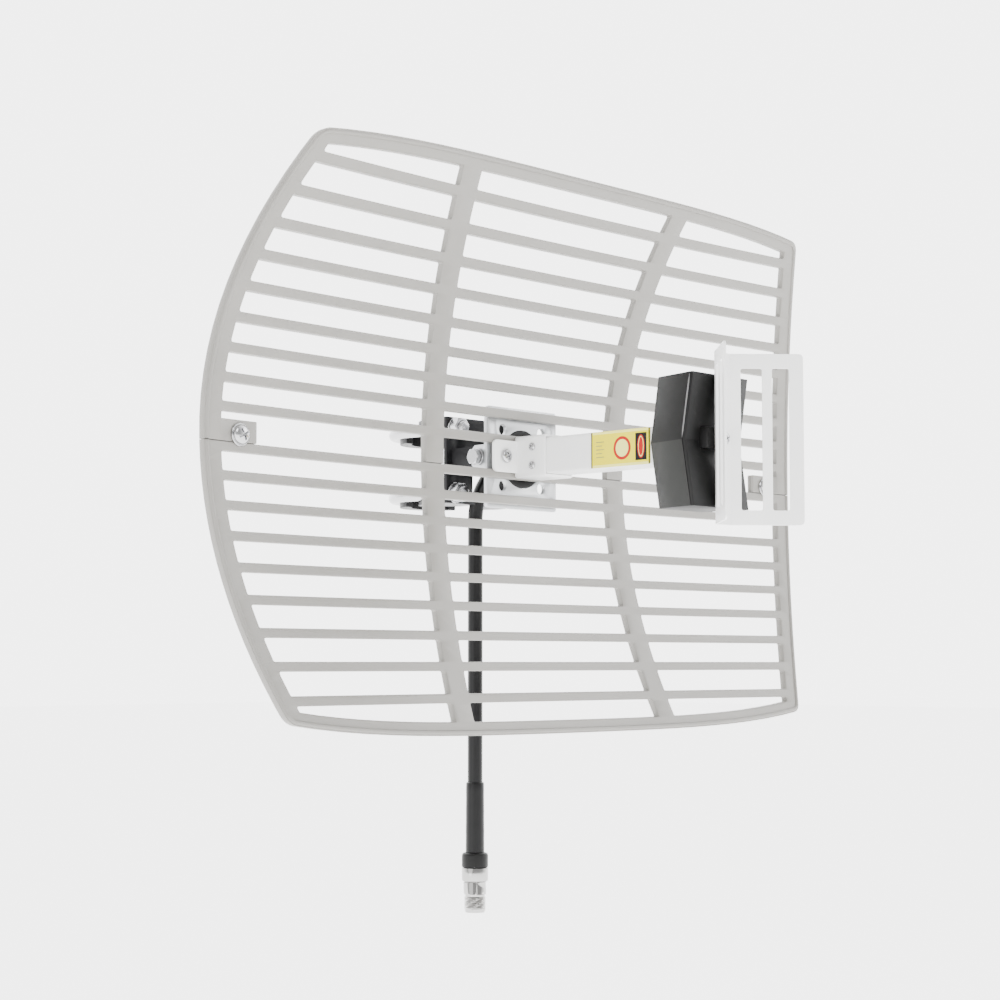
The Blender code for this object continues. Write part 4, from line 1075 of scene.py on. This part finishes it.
def make_connector():
    """The jack: clamp nut, shoulder, threaded barrel, and its insulator and contact."""
    up = (0.0, 0.0, 1.0)
    place = (0.0, CABLE_DROP_Y, CONNECTOR_TOP_Z)
    depth = CONNECTOR_TOP_Z - CONNECTOR_BOTTOM_Z
    shank = 0.0055
    outer = CONNECTOR_RADIUS
    nut = [(shank + GAP, -0.0001), (outer - 0.0005, -0.0001), (outer - 0.0001, -0.0003),
           (outer, -0.0007), (outer, -0.0088), (outer - 0.0001, -0.0093),
           (outer - 0.0006, -0.0097), (shank + GAP, -0.0097)]
    clamp = piece("clamp_nut_ring", turned(nut, place, up, 96), "nickel", ["clamp_nut"], 40)
    body = [(0.0, -0.0003), (shank, -0.0003), (shank, -0.0100), (0.0079, -0.0100),
            (0.0083, -0.0102), (0.0084, -0.0107), (0.0084, -0.0184), (0.0083, -0.0188),
            (0.0079, -0.0191), (0.0071, -0.0191), (0.0071, -0.0205)]
    thread_top, thread_bottom = -0.0211, -0.0292
    rows = 44
    body += [(THREAD_RADIUS, thread_top + (thread_bottom - thread_top) * k / rows)
             for k in range(rows + 1)]
    body += [(0.0070, -depth), (0.0058, -depth), (0.0050, -depth + 0.0010),
             (0.0050, -0.0205), (0.0, -0.0205)]

    def groove(radius, height, angle):
        if radius < THREAD_RADIUS - 1e-6:
            return 0.0
        return thread(height, angle, JACK_PITCH, JACK_GROOVE)

    barrel = piece("connector_body_barrel", turned(body, place, up, 72, groove), "nickel",
                   ["connector_body"], 40)
    insulator = [(0.0019, -0.0208), (0.0047, -0.0208), (0.0047, -0.0238),
                 (0.0045, -0.0240), (0.0019, -0.0240)]
    core = piece("connector_insulator_core", turned(insulator, place, up, 40), "insulator",
                 ["connector_insulator"])
    contact = [(0.0, -0.0208), (0.0016, -0.0208), (0.0016, -0.0258), (0.0014, -0.0260),
               (0.0009, -0.0260), (0.0008, -0.0258), (0.0008, -0.0228), (0.0, -0.0228)]
    socket = piece("centre_contact_socket", turned(contact, place, up, 32), "brass",
                   ["centre_contact"])
    return [clamp, barrel, core, socket]


# ---------------------------------------------------------------- what stays as CAD
def finish_kept_nodes():
    for name, node in frame["nodes"].items():
        if name in replaced:
            continue
        for slot in node.material_slots:
            slot.material = MATERIALS[SLOT_OF[name]]
        node.data.shade_smooth()
        node.data.set_sharp_from_angle(angle=math.radians(35))


# ---------------------------------------------------------------- stage
FLOOR_Z = -0.90
CAMERA_PLACE = (-1.0908, -1.1006, -0.1449)
CAMERA_TURN = (94.44, 0.0, -46.36)
CAMERA_LENS = 75.4
BRIGHT_SIDE = (0.70, 0.714, 0.0)
FRONT_GLOW = 0.75
BACK_GLOW = 5.0
FLOOR_GLOW = 2.0


def make_stage():
    shape = bmesh.new()
    bmesh.ops.create_grid(shape, x_segments=8, y_segments=8, size=30.0,
                          matrix=Matrix.Translation((0, 0, FLOOR_Z)))
    mesh = to_mesh(shape, "floor")
    paint = finish("pale_floor", (0.97, 0.97, 0.97), 0.9, mottle=0.004, mottle_scale=0.5,
                   grain=0.02, grain_scale=20.0)
    shader = paint.node_tree.nodes["Principled BSDF"]
    shader.inputs["Emission Color"].default_value = (1.0, 1.0, 1.0, 1.0)
    shader.inputs["Emission Strength"].default_value = FLOOR_GLOW
    mesh.materials.append(paint)
    floor = bpy.data.objects.new("floor", mesh)
    bpy.context.scene.collection.objects.link(floor)


def add_light(name, place, target, size, power):
    light = bpy.data.lights.new(name, "AREA")
    light.shape = "DISK"
    light.size = size
    light.energy = power
    lamp = bpy.data.objects.new(name, light)
    lamp.location = place
    aim = Vector(target) - Vector(place)
    lamp.rotation_euler = aim.to_track_quat("-Z", "Y").to_euler()
    bpy.context.scene.collection.objects.link(lamp)


def make_lights():
    centre = (0.0, -0.12, 0.0)
    add_light("key", (-1.2, -2.2, 1.7), centre, 1.4, 34.0)
    add_light("fill", (-2.4, -0.2, 0.3), centre, 1.8, 12.0)
    add_light("side", (1.9, -1.5, 0.9), centre, 1.2, 14.0)
    add_light("back", (0.6, 2.0, 1.5), centre, 1.4, 12.0)
    world = bpy.data.worlds.new("studio")
    world.use_nodes = True
    nodes, links = world.node_tree.nodes, world.node_tree.links
    backdrop = nodes["Background"]
    backdrop.inputs["Color"].default_value = (1.0, 1.0, 1.0, 1.0)
    # The studio is brightest behind the antenna and dimmer in front of it.
    coordinates = nodes.new("ShaderNodeTexCoord")
    facing = nodes.new("ShaderNodeVectorMath")
    facing.operation = "DOT_PRODUCT"
    facing.inputs[1].default_value = BRIGHT_SIDE
    links.new(coordinates.outputs["Generated"], facing.inputs[0])
    level = nodes.new("ShaderNodeMapRange")
    level.inputs["From Min"].default_value = -0.45
    level.inputs["From Max"].default_value = 0.60
    level.inputs["To Min"].default_value = FRONT_GLOW
    level.inputs["To Max"].default_value = BACK_GLOW
    links.new(facing.outputs["Value"], level.inputs["Value"])
    links.new(level.outputs["Result"], backdrop.inputs["Strength"])
    bpy.context.scene.world = world


def make_camera():
    data = bpy.data.cameras.new("camera")
    data.lens = CAMERA_LENS
    data.sensor_width = 36.0
    camera = bpy.data.objects.new("camera", data)
    camera.location = CAMERA_PLACE
    camera.rotation_euler = tuple(math.radians(turn) for turn in CAMERA_TURN)
    bpy.context.scene.collection.objects.link(camera)
    bpy.context.scene.camera = camera


make_cable()
make_reflector()
make_rim_fasteners()
make_hub()
make_socket()
make_arm()
make_label()
make_housing()
make_subreflector()
make_bracket()
make_clamp("upper", CLAMP_Z)
make_clamp("lower", -CLAMP_Z)
finish_kept_nodes()
make_stage()
make_lights()
make_camera()
